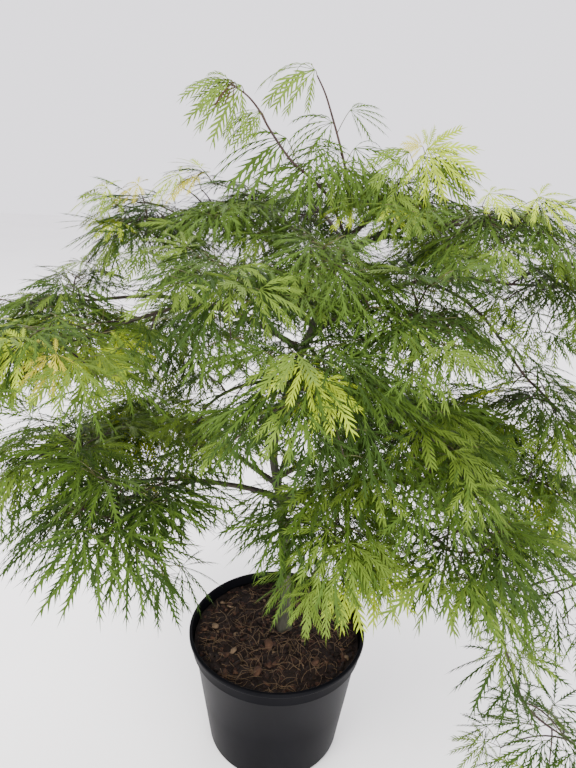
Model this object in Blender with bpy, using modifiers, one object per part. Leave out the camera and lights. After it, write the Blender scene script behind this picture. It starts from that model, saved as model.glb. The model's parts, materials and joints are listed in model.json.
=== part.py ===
"""Potted weeping Japanese maple with finely cut leaves. Metres, +Z up.

The origin is the centre of the pot's flat underside. Azimuths are counted
from +X towards +Y, so the front of the plant is at 270 degrees. Every bough
is one tapering limb that ends where it enters its own mass of foliage, and
every mass is a stem, its twigs and its leaves fused into one solid.
"""
import math
import random
from collections import namedtuple

import bmesh
import bpy
from mathutils import Matrix, Vector
from mathutils.bvhtree import BVHTree

UP = Vector((0.0, 0.0, 1.0))
GAP = 0.0003            # clearance between pieces that rest on each other
WELD = 0.00001
SHARP_ANGLE = math.radians(50.0)

# Pot: a thin-walled black nursery pot
RIM_RADIUS = 0.115
RIM_ROUND = 0.0012
POT_HEIGHT = 0.172
LIP_HEIGHT = 0.006
COLLAR_RADIUS = 0.1115
COLLAR_HEIGHT = 0.022   # below the rim
SHOULDER_STEP = 0.002
BODY_TOP_RADIUS = 0.1075
BASE_RADIUS = 0.0875
BASE_CORNER = 0.007
CORNER_STEPS = 3
POT_WALL = 0.0018
POT_FLOOR = 0.0025
POT_SIDES = 32
DRAIN_HOLES = 6
DRAIN_RADIUS = 0.006
DRAIN_SIDES = 10
DRAIN_CIRCLE = 0.062
DRAIN_TURN = 0.13

# Soil: the filled inside of the pot
SOIL_TOP = 0.152
SOIL_CLEARANCE = 0.0012
SOIL_RINGS = 4
SOIL_SIDES = 24
SOIL_ROUGHNESS = 0.0022
SOIL_LEVEL = 0.048      # radius of the level patch around the trunk's foot

# Trunk: its course leans, bends back and leans again up to its tip
TRUNK_FOOT = Vector((0.009, 0.020, SOIL_TOP + GAP))
TRUNK_COURSE = (
    TRUNK_FOOT,
    Vector((0.009, 0.020, 0.250)),
    Vector((-0.003, 0.020, 0.349)),
    Vector((-0.013, 0.020, 0.420)),
    Vector((0.000, 0.020, 0.491)),
    Vector((0.035, 0.018, 0.606)),
    Vector((0.060, 0.015, 0.690)),
)
TRUNK_STEP = 0.022
TRUNK_SIDES = 10
TRUNK_FOOT_RADIUS = 0.0068
TRUNK_TIP_RADIUS = 0.0030
FLARE = 0.0065          # extra radius at the soil
FLARE_HEIGHT = 0.012
FLARE_SHARES = (0.0, 0.008, 0.02)
GRAFT_HEIGHT = 0.285
GRAFT_SWELL = 0.0018
GRAFT_LENGTH = 0.014

# Boughs
BOUGH_STEP = 0.034
BOUGH_SIDES = 6
BOUGH_TIP_RADIUS = 0.0016
BOUGH_WANDER = 0.005    # how far a bough strays sideways from its arch
LIMB_TO_PARENT = 0.8    # greatest radius of a limb as a share of its parent's
LIMB_CLEARANCE = 0.0010
COURSE_STEPS = 24
ENTRY = 0.66            # offset from a mass's centre, in radii, at which its bough ends

# Stems and twigs
SEED = 4
STEM_RADIUS = 0.0022
STEM_TIP_RADIUS = 0.0018
STEM_STRAIGHT = 0.008
STEM_REACH = (0.25, 0.0, -0.15)     # far end of a stem, in radii of its mass
SIDE_STEM_SHARES = (0.0, 0.125, 0.5, 0.85)
TWIG_RADIUS = 0.0010
TWIG_TIP_RADIUS = 0.0009
TWIG_REACH = 0.42       # twig tips, in radii of the mass
TWIG_ARCH = 0.006
TWIG_ZONE = (0.45, 0.45)            # start and length of the twigs' share of the stem
GOLDEN_ANGLE = math.pi * (3.0 - math.sqrt(5.0))

# Leaves: sizes of the blade are shares of the leaf's length
LEAF_TO_MASS = 0.70     # leaf length as a share of its mass's mean radius
LEAF_THICKNESS = 0.045
LEAF_DROOP = 0.28
PALM = 0.06
LOBES = 7
LOBE_SPREAD = math.radians(38.0)
LOBE_SHORTENING = 0.05
LOBE_NOTCH = 0.26
STALK = 0.30
STALK_ROOT = 0.035
STALK_SUNK = 0.0004     # past the twig's centre line
TIP_STALK_SUNK = 0.0040
LEAF_TRIES = 20
FIRST_SPREAD = 0.15     # scatter of a leaf's aim at the first try
SPREAD_STEP = 0.08
SHRINK_STEP = 0.02
LEAF_SAG = 0.22
LEAF_TILT = 0.5
LEAF_ROLL = 0.3
SPACE_MARGIN = 0.0010   # each mass stays this far inside its own space
POT_CLEARANCE = 0.006
GROUND_CLEARANCE = 0.020

# One row for each mass of foliage and the bough that carries it. The bough
# leaves the trunk at a height, or its parent bough at a share of its length,
# and arches towards the mass's centre at azimuth, reach and height. A mass
# with no bough radius grows on a stem that leaves the trunk itself, and one
# with no start height runs on from the trunk's tip. Size is the half-extent
# of the mass away from the pot, across that and upwards.
Spray = namedtuple("Spray", "name parent start azimuth reach height arch radius size twigs")
SPRAY_ROWS = (
    ("low_left_outer", "trunk", 0.352, 186, 0.262, 0.380, 0.020, 0.0040, (0.118, 0.115, 0.078), 3),
    ("low_left_front", "low_left_outer", 0.55, 217, 0.225, 0.374, 0.012, 0.0028, (0.115, 0.110, 0.078), 4),
    ("low_left_back", "trunk", 0.372, 147, 0.235, 0.388, 0.025, 0.0034, (0.118, 0.110, 0.080), 3),
    ("low_back", "trunk", 0.362, 80, 0.210, 0.385, 0.025, 0.0034, (0.110, 0.100, 0.078), 3),
    ("low_right_back", "trunk", 0.380, 42, 0.240, 0.390, 0.025, 0.0034, (0.118, 0.115, 0.080), 3),
    ("low_right_outer", "trunk", 0.350, 357, 0.268, 0.380, 0.025, 0.0040, (0.118, 0.115, 0.080), 4),
    ("low_right_front", "low_right_outer", 0.45, 321, 0.222, 0.352, 0.015, 0.0030, (0.115, 0.110, 0.074), 3),
    ("low_front", "trunk", 0.368, 294, 0.150, 0.355, 0.030, 0.0028, (0.092, 0.095, 0.074), 3),
    ("low_right_drop", "low_right_outer", 0.80, 342, 0.292, 0.268, 0.030, 0.0024, (0.092, 0.095, 0.070), 3),
    ("right_hanging", "low_right_front", 0.75, 333, 0.315, 0.180, 0.060, 0.0022, (0.080, 0.092, 0.076), 3),
    ("left_drop", "trunk", 0.500, 190, 0.118, 0.452, 0.030, 0.0026, (0.080, 0.078, 0.078), 3),
    ("mid_right", "trunk", 0.470, 3, 0.200, 0.462, 0.030, 0.0030, (0.100, 0.100, 0.074), 3),
    ("right_outer", "trunk", 0.560, 359, 0.272, 0.622, 0.045, 0.0040, (0.106, 0.108, 0.064), 3),
    ("right_drop", "right_outer", 0.62, 4, 0.286, 0.505, 0.030, 0.0022, (0.098, 0.100, 0.074), 3),
    ("mid_front_right", "trunk", 0.500, 311, 0.175, 0.482, 0.035, 0.0028, (0.095, 0.100, 0.076), 4),
    ("front_centre", "trunk", 0.540, 278, 0.185, 0.568, 0.030, 0.0026, (0.095, 0.100, 0.066), 4),
    ("left_outer", "trunk", 0.545, 181, 0.265, 0.584, 0.040, 0.0036, (0.112, 0.110, 0.070), 3),
    ("left_front", "left_outer", 0.45, 210, 0.245, 0.562, 0.022, 0.0026, (0.112, 0.110, 0.080), 4),
    ("mid_left_back", "trunk", 0.578, 126, 0.225, 0.550, 0.040, 0.0032, (0.112, 0.105, 0.080), 3),
    ("mid_back", "trunk", 0.555, 73, 0.225, 0.530, 0.045, 0.0032, (0.105, 0.105, 0.080), 3),
    ("left_high", "trunk", 0.630, 169, 0.172, 0.672, 0.028, 0.0028, (0.100, 0.098, 0.058), 3),
    ("upper_left_front", "trunk", 0.605, 240, 0.145, 0.632, 0.025, 0.0026, (0.095, 0.098, 0.064), 3),
    ("upper_right_front", "trunk", 0.590, 321, 0.185, 0.592, 0.035, 0.0028, (0.098, 0.100, 0.066), 3),
    ("right_back", "trunk", 0.640, 36, 0.240, 0.622, 0.040, 0.0032, (0.110, 0.108, 0.074), 3),
    ("right_high", "trunk", 0.660, 346, 0.210, 0.690, 0.022, 0.0028, (0.105, 0.098, 0.054), 3),
    ("upper_front", "trunk", 0.619, 285, 0.100, 0.668, 0.020, 0.0, (0.085, 0.085, 0.058), 3),
    ("crown_left", "trunk", 0.650, 160, 0.075, 0.698, 0.015, 0.0, (0.090, 0.090, 0.058), 3),
    ("crown_back", "trunk", 0.665, 88, 0.145, 0.675, 0.025, 0.0, (0.100, 0.105, 0.066), 3),
    ("crown_right", "trunk", 0.652, 14, 0.120, 0.708, 0.015, 0.0, (0.085, 0.090, 0.056), 3),
    ("top", "trunk", None, 50, 0.028, 0.797, 0.010, 0.0, (0.092, 0.092, 0.074), 4),
    ("top_left", "trunk", 0.676, 202, 0.085, 0.799, 0.020, 0.0, (0.080, 0.078, 0.056), 3),
    ("top_right", "trunk", 0.668, 355, 0.152, 0.758, 0.020, 0.0, (0.078, 0.078, 0.056), 3),
)
SPRAYS = [Spray(*row) for row in SPRAY_ROWS]

# Colours: name -> (red, green, blue, roughness)
COLOURS = {
    "pot_plastic": (0.012, 0.012, 0.013, 0.45),
    "soil": (0.045, 0.024, 0.014, 0.95),
    "trunk_bark": (0.095, 0.085, 0.065, 0.85),
    "bough_bark": (0.110, 0.080, 0.055, 0.80),
    "foliage": (0.120, 0.260, 0.035, 0.60),
}

PLANT = "potted_weeping_maple"
GUIDES = "cutters_and_guides"


# Scene, materials and meshes

def clear_scene():
    for obj in list(bpy.data.objects):
        bpy.data.objects.remove(obj, do_unlink=True)


def new_collection(name):
    collection = bpy.data.collections.new(name)
    bpy.context.scene.collection.children.link(collection)
    return collection


def new_material(name):
    red, green, blue, roughness = COLOURS[name]
    material = bpy.data.materials.new(name)
    material.use_nodes = True
    shader = material.node_tree.nodes["Principled BSDF"]
    shader.inputs["Base Color"].default_value = (red, green, blue, 1.0)
    shader.inputs["Roughness"].default_value = roughness
    shader.inputs["Metallic"].default_value = 0.0


def add_part(name, mesh, material):
    """A named object of the plant, with its material."""
    obj = bpy.data.objects.new(name, mesh)
    bpy.data.collections[PLANT].objects.link(obj)
    mesh.materials.clear()
    mesh.materials.append(bpy.data.materials[material])
    return obj


def add_guide(name, data):
    """A cutter or guide, which isn't part of the plant."""
    obj = bpy.data.objects.new(name, data)
    bpy.data.collections[GUIDES].objects.link(obj)
    obj.hide_render = True
    obj.display_type = "WIRE"
    return obj


def cut_by(obj, cutter):
    modifier = obj.modifiers.new(f"cut_by_{cutter.name}", "BOOLEAN")
    modifier.object = cutter


def evaluated_mesh(obj):
    """The object's mesh with its modifiers applied, or a curve's surface."""
    bpy.context.view_layer.update()
    depsgraph = bpy.context.evaluated_depsgraph_get()
    return bpy.data.meshes.new_from_object(obj.evaluated_get(depsgraph))


def shade_round(mesh):
    mesh.shade_smooth()
    mesh.set_sharp_from_angle(angle=SHARP_ANGLE)


def turned(name, profile, sides, material):
    """A solid of revolution from (radius, height) points that start and end on the axis."""
    mesh = bpy.data.meshes.new(name)
    points = [(radius, 0.0, height) for radius, height in profile]
    edges = [(index, index + 1) for index in range(len(points) - 1)]
    mesh.from_pydata(points, edges, [])
    obj = add_part(name, mesh, material)
    screw = obj.modifiers.new("turn", "SCREW")
    screw.steps = sides
    screw.render_steps = sides
    screw.use_merge_vertices = True
    screw.merge_threshold = WELD
    return obj


def on_circle(radius, turn, height=0.0):
    return Vector((radius * math.cos(turn), radius * math.sin(turn), height))


# Pot and soil

def pot_outer_radius(height):
    """Radius of the pot's tapering body, below the collar."""
    collar_foot = POT_HEIGHT - COLLAR_HEIGHT
    return BASE_RADIUS + (BODY_TOP_RADIUS - BASE_RADIUS) * height / collar_foot


def pot_inner_radius(height):
    return pot_outer_radius(height) - POT_WALL


def pot_profile():
    """Inside floor, inside wall, rolled rim, collar, outside wall, rounded corner, underside."""
    collar_foot = POT_HEIGHT - COLLAR_HEIGHT
    shoulder = collar_foot - SHOULDER_STEP
    lip_foot = POT_HEIGHT - LIP_HEIGHT
    corner_centre = pot_outer_radius(BASE_CORNER) - BASE_CORNER
    profile = [
        (0.0, POT_FLOOR),
        (pot_inner_radius(POT_FLOOR) - BASE_CORNER, POT_FLOOR),
        (pot_inner_radius(BASE_CORNER), POT_FLOOR + BASE_CORNER),
        (pot_inner_radius(shoulder), shoulder),
        (COLLAR_RADIUS - POT_WALL, collar_foot),
        (COLLAR_RADIUS - 0.3 * POT_WALL, POT_HEIGHT),
        (RIM_RADIUS - RIM_ROUND, POT_HEIGHT),
        (RIM_RADIUS, POT_HEIGHT - RIM_ROUND),
        (RIM_RADIUS, lip_foot),
        (COLLAR_RADIUS, lip_foot),
        (COLLAR_RADIUS - 0.5 * POT_WALL, collar_foot),
        (pot_outer_radius(shoulder), shoulder),
    ]
    for step in range(CORNER_STEPS + 1):
        turn = 0.5 * math.pi * step / CORNER_STEPS
        radius = corner_centre + BASE_CORNER * math.cos(turn)
        profile.append((radius, BASE_CORNER * (1.0 - math.sin(turn))))
    profile.append((0.0, 0.0))
    return profile


def build_pot():
    pot = turned("pot", pot_profile(), POT_SIDES, "pot_plastic")
    for index in range(DRAIN_HOLES):
        turn = 2.0 * math.pi * index / DRAIN_HOLES + DRAIN_TURN
        mesh = bpy.data.meshes.new("drain_cutter")
        shape = bmesh.new()
        bmesh.ops.create_cone(shape, cap_ends=True, segments=DRAIN_SIDES, radius1=DRAIN_RADIUS,
                              radius2=DRAIN_RADIUS, depth=4.0 * POT_FLOOR)
        shape.to_mesh(mesh)
        shape.free()
        cutter = add_guide(f"drain_cutter_{index + 1}", mesh)
        cutter.location = on_circle(DRAIN_CIRCLE, turn)
        cutter.rotation_euler.z = turn
        cut_by(pot, cutter)


def build_soil():
    """A plug that fills the pot, with an uneven top that is level under the trunk."""
    floor = POT_FLOOR + GAP
    corner = floor + BASE_CORNER
    edge = pot_inner_radius(SOIL_TOP) - SOIL_CLEARANCE
    profile = [(edge * ring / SOIL_RINGS, SOIL_TOP) for ring in range(SOIL_RINGS + 1)]
    profile.append((pot_inner_radius(corner) - SOIL_CLEARANCE, corner))
    profile.append((pot_inner_radius(floor) - BASE_CORNER - SOIL_CLEARANCE, floor))
    profile.append((0.0, floor))
    soil = turned("soil", profile, SOIL_SIDES, "soil")
    mesh = evaluated_mesh(soil)
    bpy.data.objects.remove(soil, do_unlink=True)
    rng = random.Random(SEED)
    for vertex in mesh.vertices:
        from_trunk = (vertex.co.xy - TRUNK_FOOT.xy).length
        if vertex.co.z > SOIL_TOP - WELD and from_trunk > SOIL_LEVEL:
            vertex.co.z += SOIL_ROUGHNESS * rng.uniform(-1.0, 1.0)
    add_part("soil", mesh, "soil")


# Courses: the centre lines of trunk, boughs and stems

def smooth_course(knots, share):
    """The point at a share of a smooth curve through the knots."""
    spans = len(knots) - 1
    span = min(int(share * spans), spans - 1)
    local = share * spans - span
    before = knots[max(span - 1, 0)]
    start = knots[span]
    end = knots[span + 1]
    after = knots[min(span + 2, spans)]
    linear = (end - before) * local
    square = (before * 2.0 - start * 5.0 + end * 4.0 - after) * local ** 2
    cube = (start * 3.0 - end * 3.0 + after - before) * local ** 3
    return start + (linear + square + cube) * 0.5


def point_at_height(points, height):
    for low, high in zip(points, points[1:]):
        if high.z >= height:
            return low.lerp(high, (height - low.z) / (high.z - low.z))
    return points[-1].copy()


def point_at_share(points, share):
    """The point on a course at a share of its length."""
    lengths = [(end - start).length for start, end in zip(points, points[1:])]
    remaining = share * sum(lengths)
    for start, end, length in zip(points, points[1:], lengths):
        if remaining <= length:
            return start.lerp(end, remaining / length)
        remaining -= length
    return points[-1].copy()


def arch_point(start, end, arch, share):
    """A point on the arch from start to end, whose crown stands arch above the chord."""
    crown = (start + end) * 0.5 + UP * (2.0 * arch)
    return start.lerp(crown, share).lerp(crown.lerp(end, share), share)


def wandering_arch(start, end, arch, rng):
    """Points along an arch that strays a little to each side."""
    side = (end - start).cross(UP).normalized()
    sway = BOUGH_WANDER * rng.uniform(0.5, 1.0) * rng.choice((-1.0, 1.0))
    points = []
    for index in range(COURSE_STEPS + 1):
        share = index / COURSE_STEPS
        stray = math.sin(2.0 * math.pi * share) + 0.4 * math.sin(5.0 * math.pi * share)
        points.append(arch_point(start, end, arch, share) + side * (sway * stray))
    return points


def taper(start, end, count):
    return [start + (end - start) * index / (count - 1) for index in range(count)]


def trunk_radius(height):
    rise = (height - SOIL_TOP) / (TRUNK_COURSE[-1].z - SOIL_TOP)
    plain = TRUNK_FOOT_RADIUS + (TRUNK_TIP_RADIUS - TRUNK_FOOT_RADIUS) * rise
    flare = FLARE * math.exp(-(height - SOIL_TOP) / FLARE_HEIGHT)
    graft = GRAFT_SWELL * math.exp(-((height - GRAFT_HEIGHT) / GRAFT_LENGTH) ** 2)
    return plain + flare + graft


def trunk_points():
    """Centre points with a level foot, closer together in the flare."""
    count = round((TRUNK_COURSE[-1].z - TRUNK_FOOT.z) / TRUNK_STEP)
    shares = list(FLARE_SHARES) + [index / count for index in range(1, count + 1)]
    points = [smooth_course(TRUNK_COURSE, share) for share in shares]
    points[1].xy = TRUNK_FOOT.xy
    return points


# Limbs

def twig_section():
    """The cross-section of a three-sided twig, with a radius of one metre."""
    curve = bpy.data.curves.new("twig_section", "CURVE")
    curve.dimensions = "2D"
    spline = curve.splines.new("POLY")
    spline.points.add(2)
    for index, knot in enumerate(spline.points):
        knot.co = (*on_circle(1.0, 2.0 * math.pi * index / 3.0), 1.0)
    spline.use_cyclic_u = True
    add_guide("twig_section", curve)


def tube(points, radii, sides=3):
    """A closed mesh tube along the points, with the radius given at each."""
    curve = bpy.data.curves.new("tube", "CURVE")
    curve.dimensions = "3D"
    curve.use_fill_caps = True
    if sides == 3:
        curve.bevel_mode = "OBJECT"
        curve.bevel_object = bpy.data.objects["twig_section"]
    else:
        curve.bevel_depth = 1.0
        curve.bevel_resolution = (sides - 4) // 2
    spline = curve.splines.new("POLY")
    spline.points.add(len(points) - 1)
    for knot, point, radius in zip(spline.points, points, radii):
        knot.co = (*point, 1.0)
        knot.radius = radius
    guide = add_guide("tube", curve)
    mesh = evaluated_mesh(guide)
    bpy.data.objects.remove(guide, do_unlink=True)
    shape = bmesh.new()
    shape.from_mesh(mesh)
    bmesh.ops.remove_doubles(shape, verts=shape.verts, dist=WELD)
    bmesh.ops.recalc_face_normals(shape, faces=shape.faces)
    shape.to_mesh(mesh)
    shape.free()
    return mesh


def mesh_tree(mesh, matrix=None):
    """A search tree of a mesh's faces in world space."""
    matrix = matrix or Matrix.Identity(4)
    points = [matrix @ vertex.co for vertex in mesh.vertices]
    faces = [tuple(polygon.vertices) for polygon in mesh.polygons]
    return BVHTree.FromPolygons(points, faces)


class Limb:
    """The trunk or a bough: its course, and the cutter that clears whatever leaves it."""

    def __init__(self, name, points, radii, sides, material):
        self.points = points
        self.radii = radii
        mesh = tube(points, radii, sides)
        shade_round(mesh)
        self.part = add_part(name, mesh, material)
        wider = [radius + GAP for radius in radii]
        self.cutter = add_guide(f"{name}_cutter", tube(points, wider, sides))
        wider = [radius + LIMB_CLEARANCE for radius in radii]
        self.clearance = mesh_tree(tube(points, wider, sides))

    def heading(self):
        return (self.points[-1] - self.points[-2]).normalized()


class Stem:
    """The stem of a mass: its course, and the cutter of the trunk if it leaves the trunk's side."""

    def __init__(self, points, cutter=None):
        self.points = points
        self.cutter = cutter
        radii = taper(STEM_RADIUS, STEM_TIP_RADIUS, len(points))
        self.mesh = tube(points, radii)
        self.tree = mesh_tree(self.mesh)
        self.clearance = mesh_tree(tube(points, [radius + LIMB_CLEARANCE for radius in radii]))


def stem_from_tip(limb, space):
    """A stem that runs on from a limb's tip through the mass's centre."""
    start = limb.points[-1] + limb.heading() * GAP
    straight = start + limb.heading() * STEM_STRAIGHT
    far = space.point(*STEM_REACH)
    return Stem([start, straight, straight.lerp(far, 0.55), far])


def stem_from_trunk(course, space, cutter):
    """A stem that leaves the trunk's side along a course to the mass's centre."""
    points = [point_at_share(course, share) for share in SIDE_STEM_SHARES]
    return Stem(points + [space.point(*STEM_REACH)], cutter)


def build_trunk():
    points = trunk_points()
    radii = [trunk_radius(point.z) for point in points]
    return Limb("trunk", points, radii, TRUNK_SIDES, "trunk_bark")


def leave_parent(spray, parent):
    """Where a limb leaves its parent, and the greatest radius it can have there."""
    if spray.parent == "trunk":
        return point_at_height(parent.points, spray.start), LIMB_TO_PARENT * trunk_radius(spray.start)
    radius = parent.radii[0] + (parent.radii[-1] - parent.radii[0]) * spray.start
    return point_at_share(parent.points, spray.start), LIMB_TO_PARENT * radius


def build_bough(spray, course, widest, parent, space):
    """One tapering limb along the course, which ends where it enters its mass."""
    inside = [index for index, point in enumerate(course) if space.offset(point).length < ENTRY]
    course = course[:inside[0] + 1]
    length = sum((end - start).length for start, end in zip(course, course[1:]))
    steps = max(3, round(length / BOUGH_STEP))
    points = [point_at_share(course, index / steps) for index in range(steps + 1)]
    radii = taper(min(widest, spray.radius), BOUGH_TIP_RADIUS, steps + 1)
    bough = Limb(f"bough_{spray.name}", points, radii, BOUGH_SIDES, "bough_bark")
    cut_by(bough.part, parent.cutter)
    return bough


def build_limbs(spaces):
    """The trunk, the boughs and the stems of the masses."""
    limbs = {"trunk": build_trunk()}
    stems = {}
    for spray in SPRAYS:
        parent = limbs[spray.parent]
        space = spaces[spray.name]
        if spray.start is None:
            stems[spray.name] = stem_from_tip(parent, space)
            continue
        start, widest = leave_parent(spray, parent)
        rng = random.Random(f"{SEED}-{spray.name}-bough")
        course = wandering_arch(start, space.centre, spray.arch, rng)
        if spray.radius:
            limbs[spray.name] = build_bough(spray, course, widest, parent, space)
            stems[spray.name] = stem_from_tip(limbs[spray.name], space)
        else:
            stems[spray.name] = stem_from_trunk(course, space, parent.cutter)
    return limbs, stems


# Spaces of the masses

class Space:
    """The ellipsoid that one mass of foliage fills, and the planes that part it from the others."""

    def __init__(self, spray):
        self.heading = on_circle(1.0, math.radians(spray.azimuth))
        self.side = UP.cross(self.heading)
        self.centre = self.heading * spray.reach + UP * spray.height
        self.size = Vector(spray.size)
        self.mean_size = sum(spray.size) / 3.0
        self.planes = []

    def offset(self, point):
        """The point from the centre, in units of the ellipsoid's radii."""
        away = point - self.centre
        along = away.dot(self.heading) / self.size.x
        across = away.dot(self.side) / self.size.y
        return Vector((along, across, away.z / self.size.z))

    def point(self, along, across, up):
        """The point at an offset given in radii."""
        level = self.heading * (along * self.size.x) + self.side * (across * self.size.y)
        return self.centre + level + UP * (up * self.size.z)

    def part_from(self, other):
        """Keep to this side of a plane between two masses, nearer to the smaller one."""
        towards = other.centre - self.centre
        share = self.mean_size / (self.mean_size + other.mean_size)
        self.planes.append((towards.normalized(), towards.length * share - SPACE_MARGIN))

    def holds(self, point):
        if self.offset(point).length > 1.0:
            return False
        away = point - self.centre
        return all(away.dot(normal) < limit for normal, limit in self.planes)


def new_spaces():
    spaces = {spray.name: Space(spray) for spray in SPRAYS}
    for space in spaces.values():
        for other in spaces.values():
            if other is not space:
                space.part_from(other)
    return spaces


def clear_of_pot(point):
    """Whether a point of foliage stays off the pot, the soil and the ground."""
    above = point.z > POT_HEIGHT + POT_CLEARANCE
    beside = point.xy.length > RIM_RADIUS + POT_CLEARANCE and point.z > GROUND_CLEARANCE
    return above or beside


# Leaves

def leaf_outline_point(step):
    """Ring point of the leaf: even steps are lobe tips, odd steps the cuts between them."""
    if abs(step) == LOBES + 1:
        return Vector((-STALK, 0.0, 0.0))
    if abs(step) == LOBES:
        return Vector((-0.5 * STALK_ROOT, math.copysign(STALK_ROOT, step), 0.0))
    angle = 0.5 * LOBE_SPREAD * step
    reach = LOBE_NOTCH
    if step % 2 == 0:
        reach = 1.0 - LOBE_SHORTENING * (0.5 * step) ** 2
    return on_circle(reach, angle, -LEAF_DROOP * reach * reach)


def leaf_mesh():
    """One palmate leaf of unit length: its palm is at the origin, its stalk runs along -X."""
    shape = bmesh.new()
    bmesh.ops.create_uvsphere(shape, u_segments=2 * LOBES + 2, v_segments=2, radius=1.0)
    for vertex in shape.verts:
        if abs(vertex.co.z) > 0.5:
            vertex.co = (PALM, 0.0, math.copysign(0.5 * LEAF_THICKNESS, vertex.co.z))
        else:
            turn = math.atan2(vertex.co.y, vertex.co.x)
            vertex.co = leaf_outline_point(round(turn * (LOBES + 1) / math.pi))
    bmesh.ops.recalc_face_normals(shape, faces=shape.faces)
    mesh = bpy.data.meshes.new("leaf")
    shape.to_mesh(mesh)
    shape.free()
    return mesh


def leaf_matrix(palm, aim, upper, length):
    """Place a leaf: +X along aim, +Z as near to upper as it can be."""
    side = upper.cross(aim).normalized()
    turn = Matrix((aim, side, aim.cross(side))).transposed().to_4x4()
    return Matrix.Translation(palm) @ turn @ Matrix.Scale(length, 4)


class Mass:
    """One mass of foliage while it grows: its pieces, and what they keep clear of."""

    def __init__(self, spray, space, stem, obstacles, leaf):
        self.space = space
        self.stem = stem
        self.obstacles = obstacles
        self.leaf = leaf
        self.leaf_length = LEAF_TO_MASS * space.mean_size
        self.wood_trees = [stem.tree]
        self.leaf_trees = []
        self.rng = random.Random(f"{SEED}-{spray.name}-foliage")
        self.pieces = new_collection(f"{spray.name}_pieces")

    def scatter(self, spread):
        return Vector([self.rng.uniform(-spread, spread) for _ in range(3)])

    def fits(self, mesh, matrix, tree, others):
        """Whether a piece stays in the mass's space and touches none of the others."""
        points = [matrix @ vertex.co for vertex in mesh.vertices]
        if not all(self.space.holds(point) and clear_of_pot(point) for point in points):
            return False
        return not any(tree.overlap(other) for other in self.obstacles + self.leaf_trees + others)

    def add(self, mesh, matrix):
        piece = bpy.data.objects.new("piece", mesh)
        piece.matrix_world = matrix
        self.pieces.objects.link(piece)

    def add_twig(self, points):
        """Join a twig to the stem, unless it leaves the space or meets another piece."""
        twig = tube(points, taper(TWIG_RADIUS, TWIG_TIP_RADIUS, len(points)))
        tree = mesh_tree(twig)
        if not self.fits(twig, Matrix.Identity(4), tree, []):
            return None
        self.add(twig, Matrix.Identity(4))
        self.wood_trees.append(tree)
        return tree

    def add_leaf(self, joint, outward, sunk, own_wood):
        """Hang a leaf from a joint of its own twig or stem, in the first attitude that fits."""
        outward = outward.normalized()
        other_wood = [tree for tree in self.wood_trees if tree is not own_wood]
        for attempt in range(LEAF_TRIES):
            spread = FIRST_SPREAD + SPREAD_STEP * attempt
            aim = (outward - UP * LEAF_SAG + self.scatter(spread)).normalized()
            upper = UP + outward * LEAF_TILT + self.scatter(LEAF_ROLL)
            length = self.leaf_length * self.rng.uniform(0.92, 1.12) * (1.0 - SHRINK_STEP * attempt)
            placed = leaf_matrix(joint + aim * (STALK * length - sunk), aim, upper, length)
            tree = mesh_tree(self.leaf, placed)
            if self.fits(self.leaf, placed, tree, other_wood):
                self.add(self.leaf, placed)
                self.leaf_trees.append(tree)
                return

    def grow(self, twigs):
        """Twigs from the stem to points spread evenly through the space, then the leaves."""
        points = self.stem.points
        grown = []
        for index in range(twigs):
            height = 1.0 - (2.0 * index + 1.0) / twigs
            turn = GOLDEN_ANGLE * index + self.rng.uniform(-0.3, 0.3)
            spot = on_circle(math.sqrt(1.0 - height * height), turn, height)
            tip = self.space.point(*(spot * TWIG_REACH))
            base = point_at_share(points, TWIG_ZONE[0] + TWIG_ZONE[1] * (index + 0.5) / twigs)
            elbow = (base + tip) * 0.5 + UP * TWIG_ARCH
            tree = self.add_twig((base, elbow, tip))
            if tree:
                grown.append((elbow, tip, tree))
        self.add_leaf(points[-1], points[-1] - points[-2], TIP_STALK_SUNK, self.stem.tree)
        for elbow, tip, tree in grown:
            self.add_leaf(tip, tip - elbow, TIP_STALK_SUNK, tree)
        for elbow, tip, tree in grown:
            outward = (tip - elbow).normalized()
            sideways = outward.cross(UP).normalized()
            for turn in (-1.0, 1.0):
                self.add_leaf(elbow, sideways * turn + outward * 0.4, STALK_SUNK, tree)

    def fuse(self, name):
        """Join the stem, twigs and leaves into one closed solid, cut clear of the trunk."""
        base = add_part("stem", self.stem.mesh, "foliage")
        if self.stem.cutter:
            cut_by(base, self.stem.cutter)
        union = base.modifiers.new("join", "BOOLEAN")
        union.operation = "UNION"
        union.operand_type = "COLLECTION"
        union.collection = self.pieces
        joined = evaluated_mesh(base)
        for obj in list(self.pieces.objects) + [base]:
            bpy.data.objects.remove(obj, do_unlink=True)
        bpy.data.collections.remove(self.pieces)
        keep_largest_piece(joined)
        add_part(name, joined, "foliage")


def keep_largest_piece(mesh):
    """Drop the loose scraps and sealed hollows that fusing can leave."""
    shape = bmesh.new()
    shape.from_mesh(mesh)
    remaining = set(shape.verts)
    islands = []
    while remaining:
        front = [remaining.pop()]
        island = set(front)
        while front:
            vertex = front.pop()
            reached = {edge.other_vert(vertex) for edge in vertex.link_edges} - island
            island |= reached
            front.extend(reached)
        remaining -= island
        islands.append(island)
    islands.sort(key=len)
    for island in islands[:-1]:
        bmesh.ops.delete(shape, geom=list(island), context="VERTS")
    shape.to_mesh(mesh)
    shape.free()


def build_masses(spaces, limbs, stems):
    leaf = leaf_mesh()
    for spray in SPRAYS:
        stem = stems[spray.name]
        obstacles = [limb.clearance for limb in limbs.values()]
        obstacles += [other.clearance for other in stems.values() if other is not stem]
        mass = Mass(spray, spaces[spray.name], stem, obstacles, leaf)
        mass.grow(spray.twigs)
        mass.fuse(f"mass_{spray.name}")


def main():
    clear_scene()
    new_collection(PLANT)
    new_collection(GUIDES)
    for name in COLOURS:
        new_material(name)
    twig_section()
    build_pot()
    build_soil()
    spaces = new_spaces()
    limbs, stems = build_limbs(spaces)
    build_masses(spaces, limbs, stems)


main()
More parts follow.
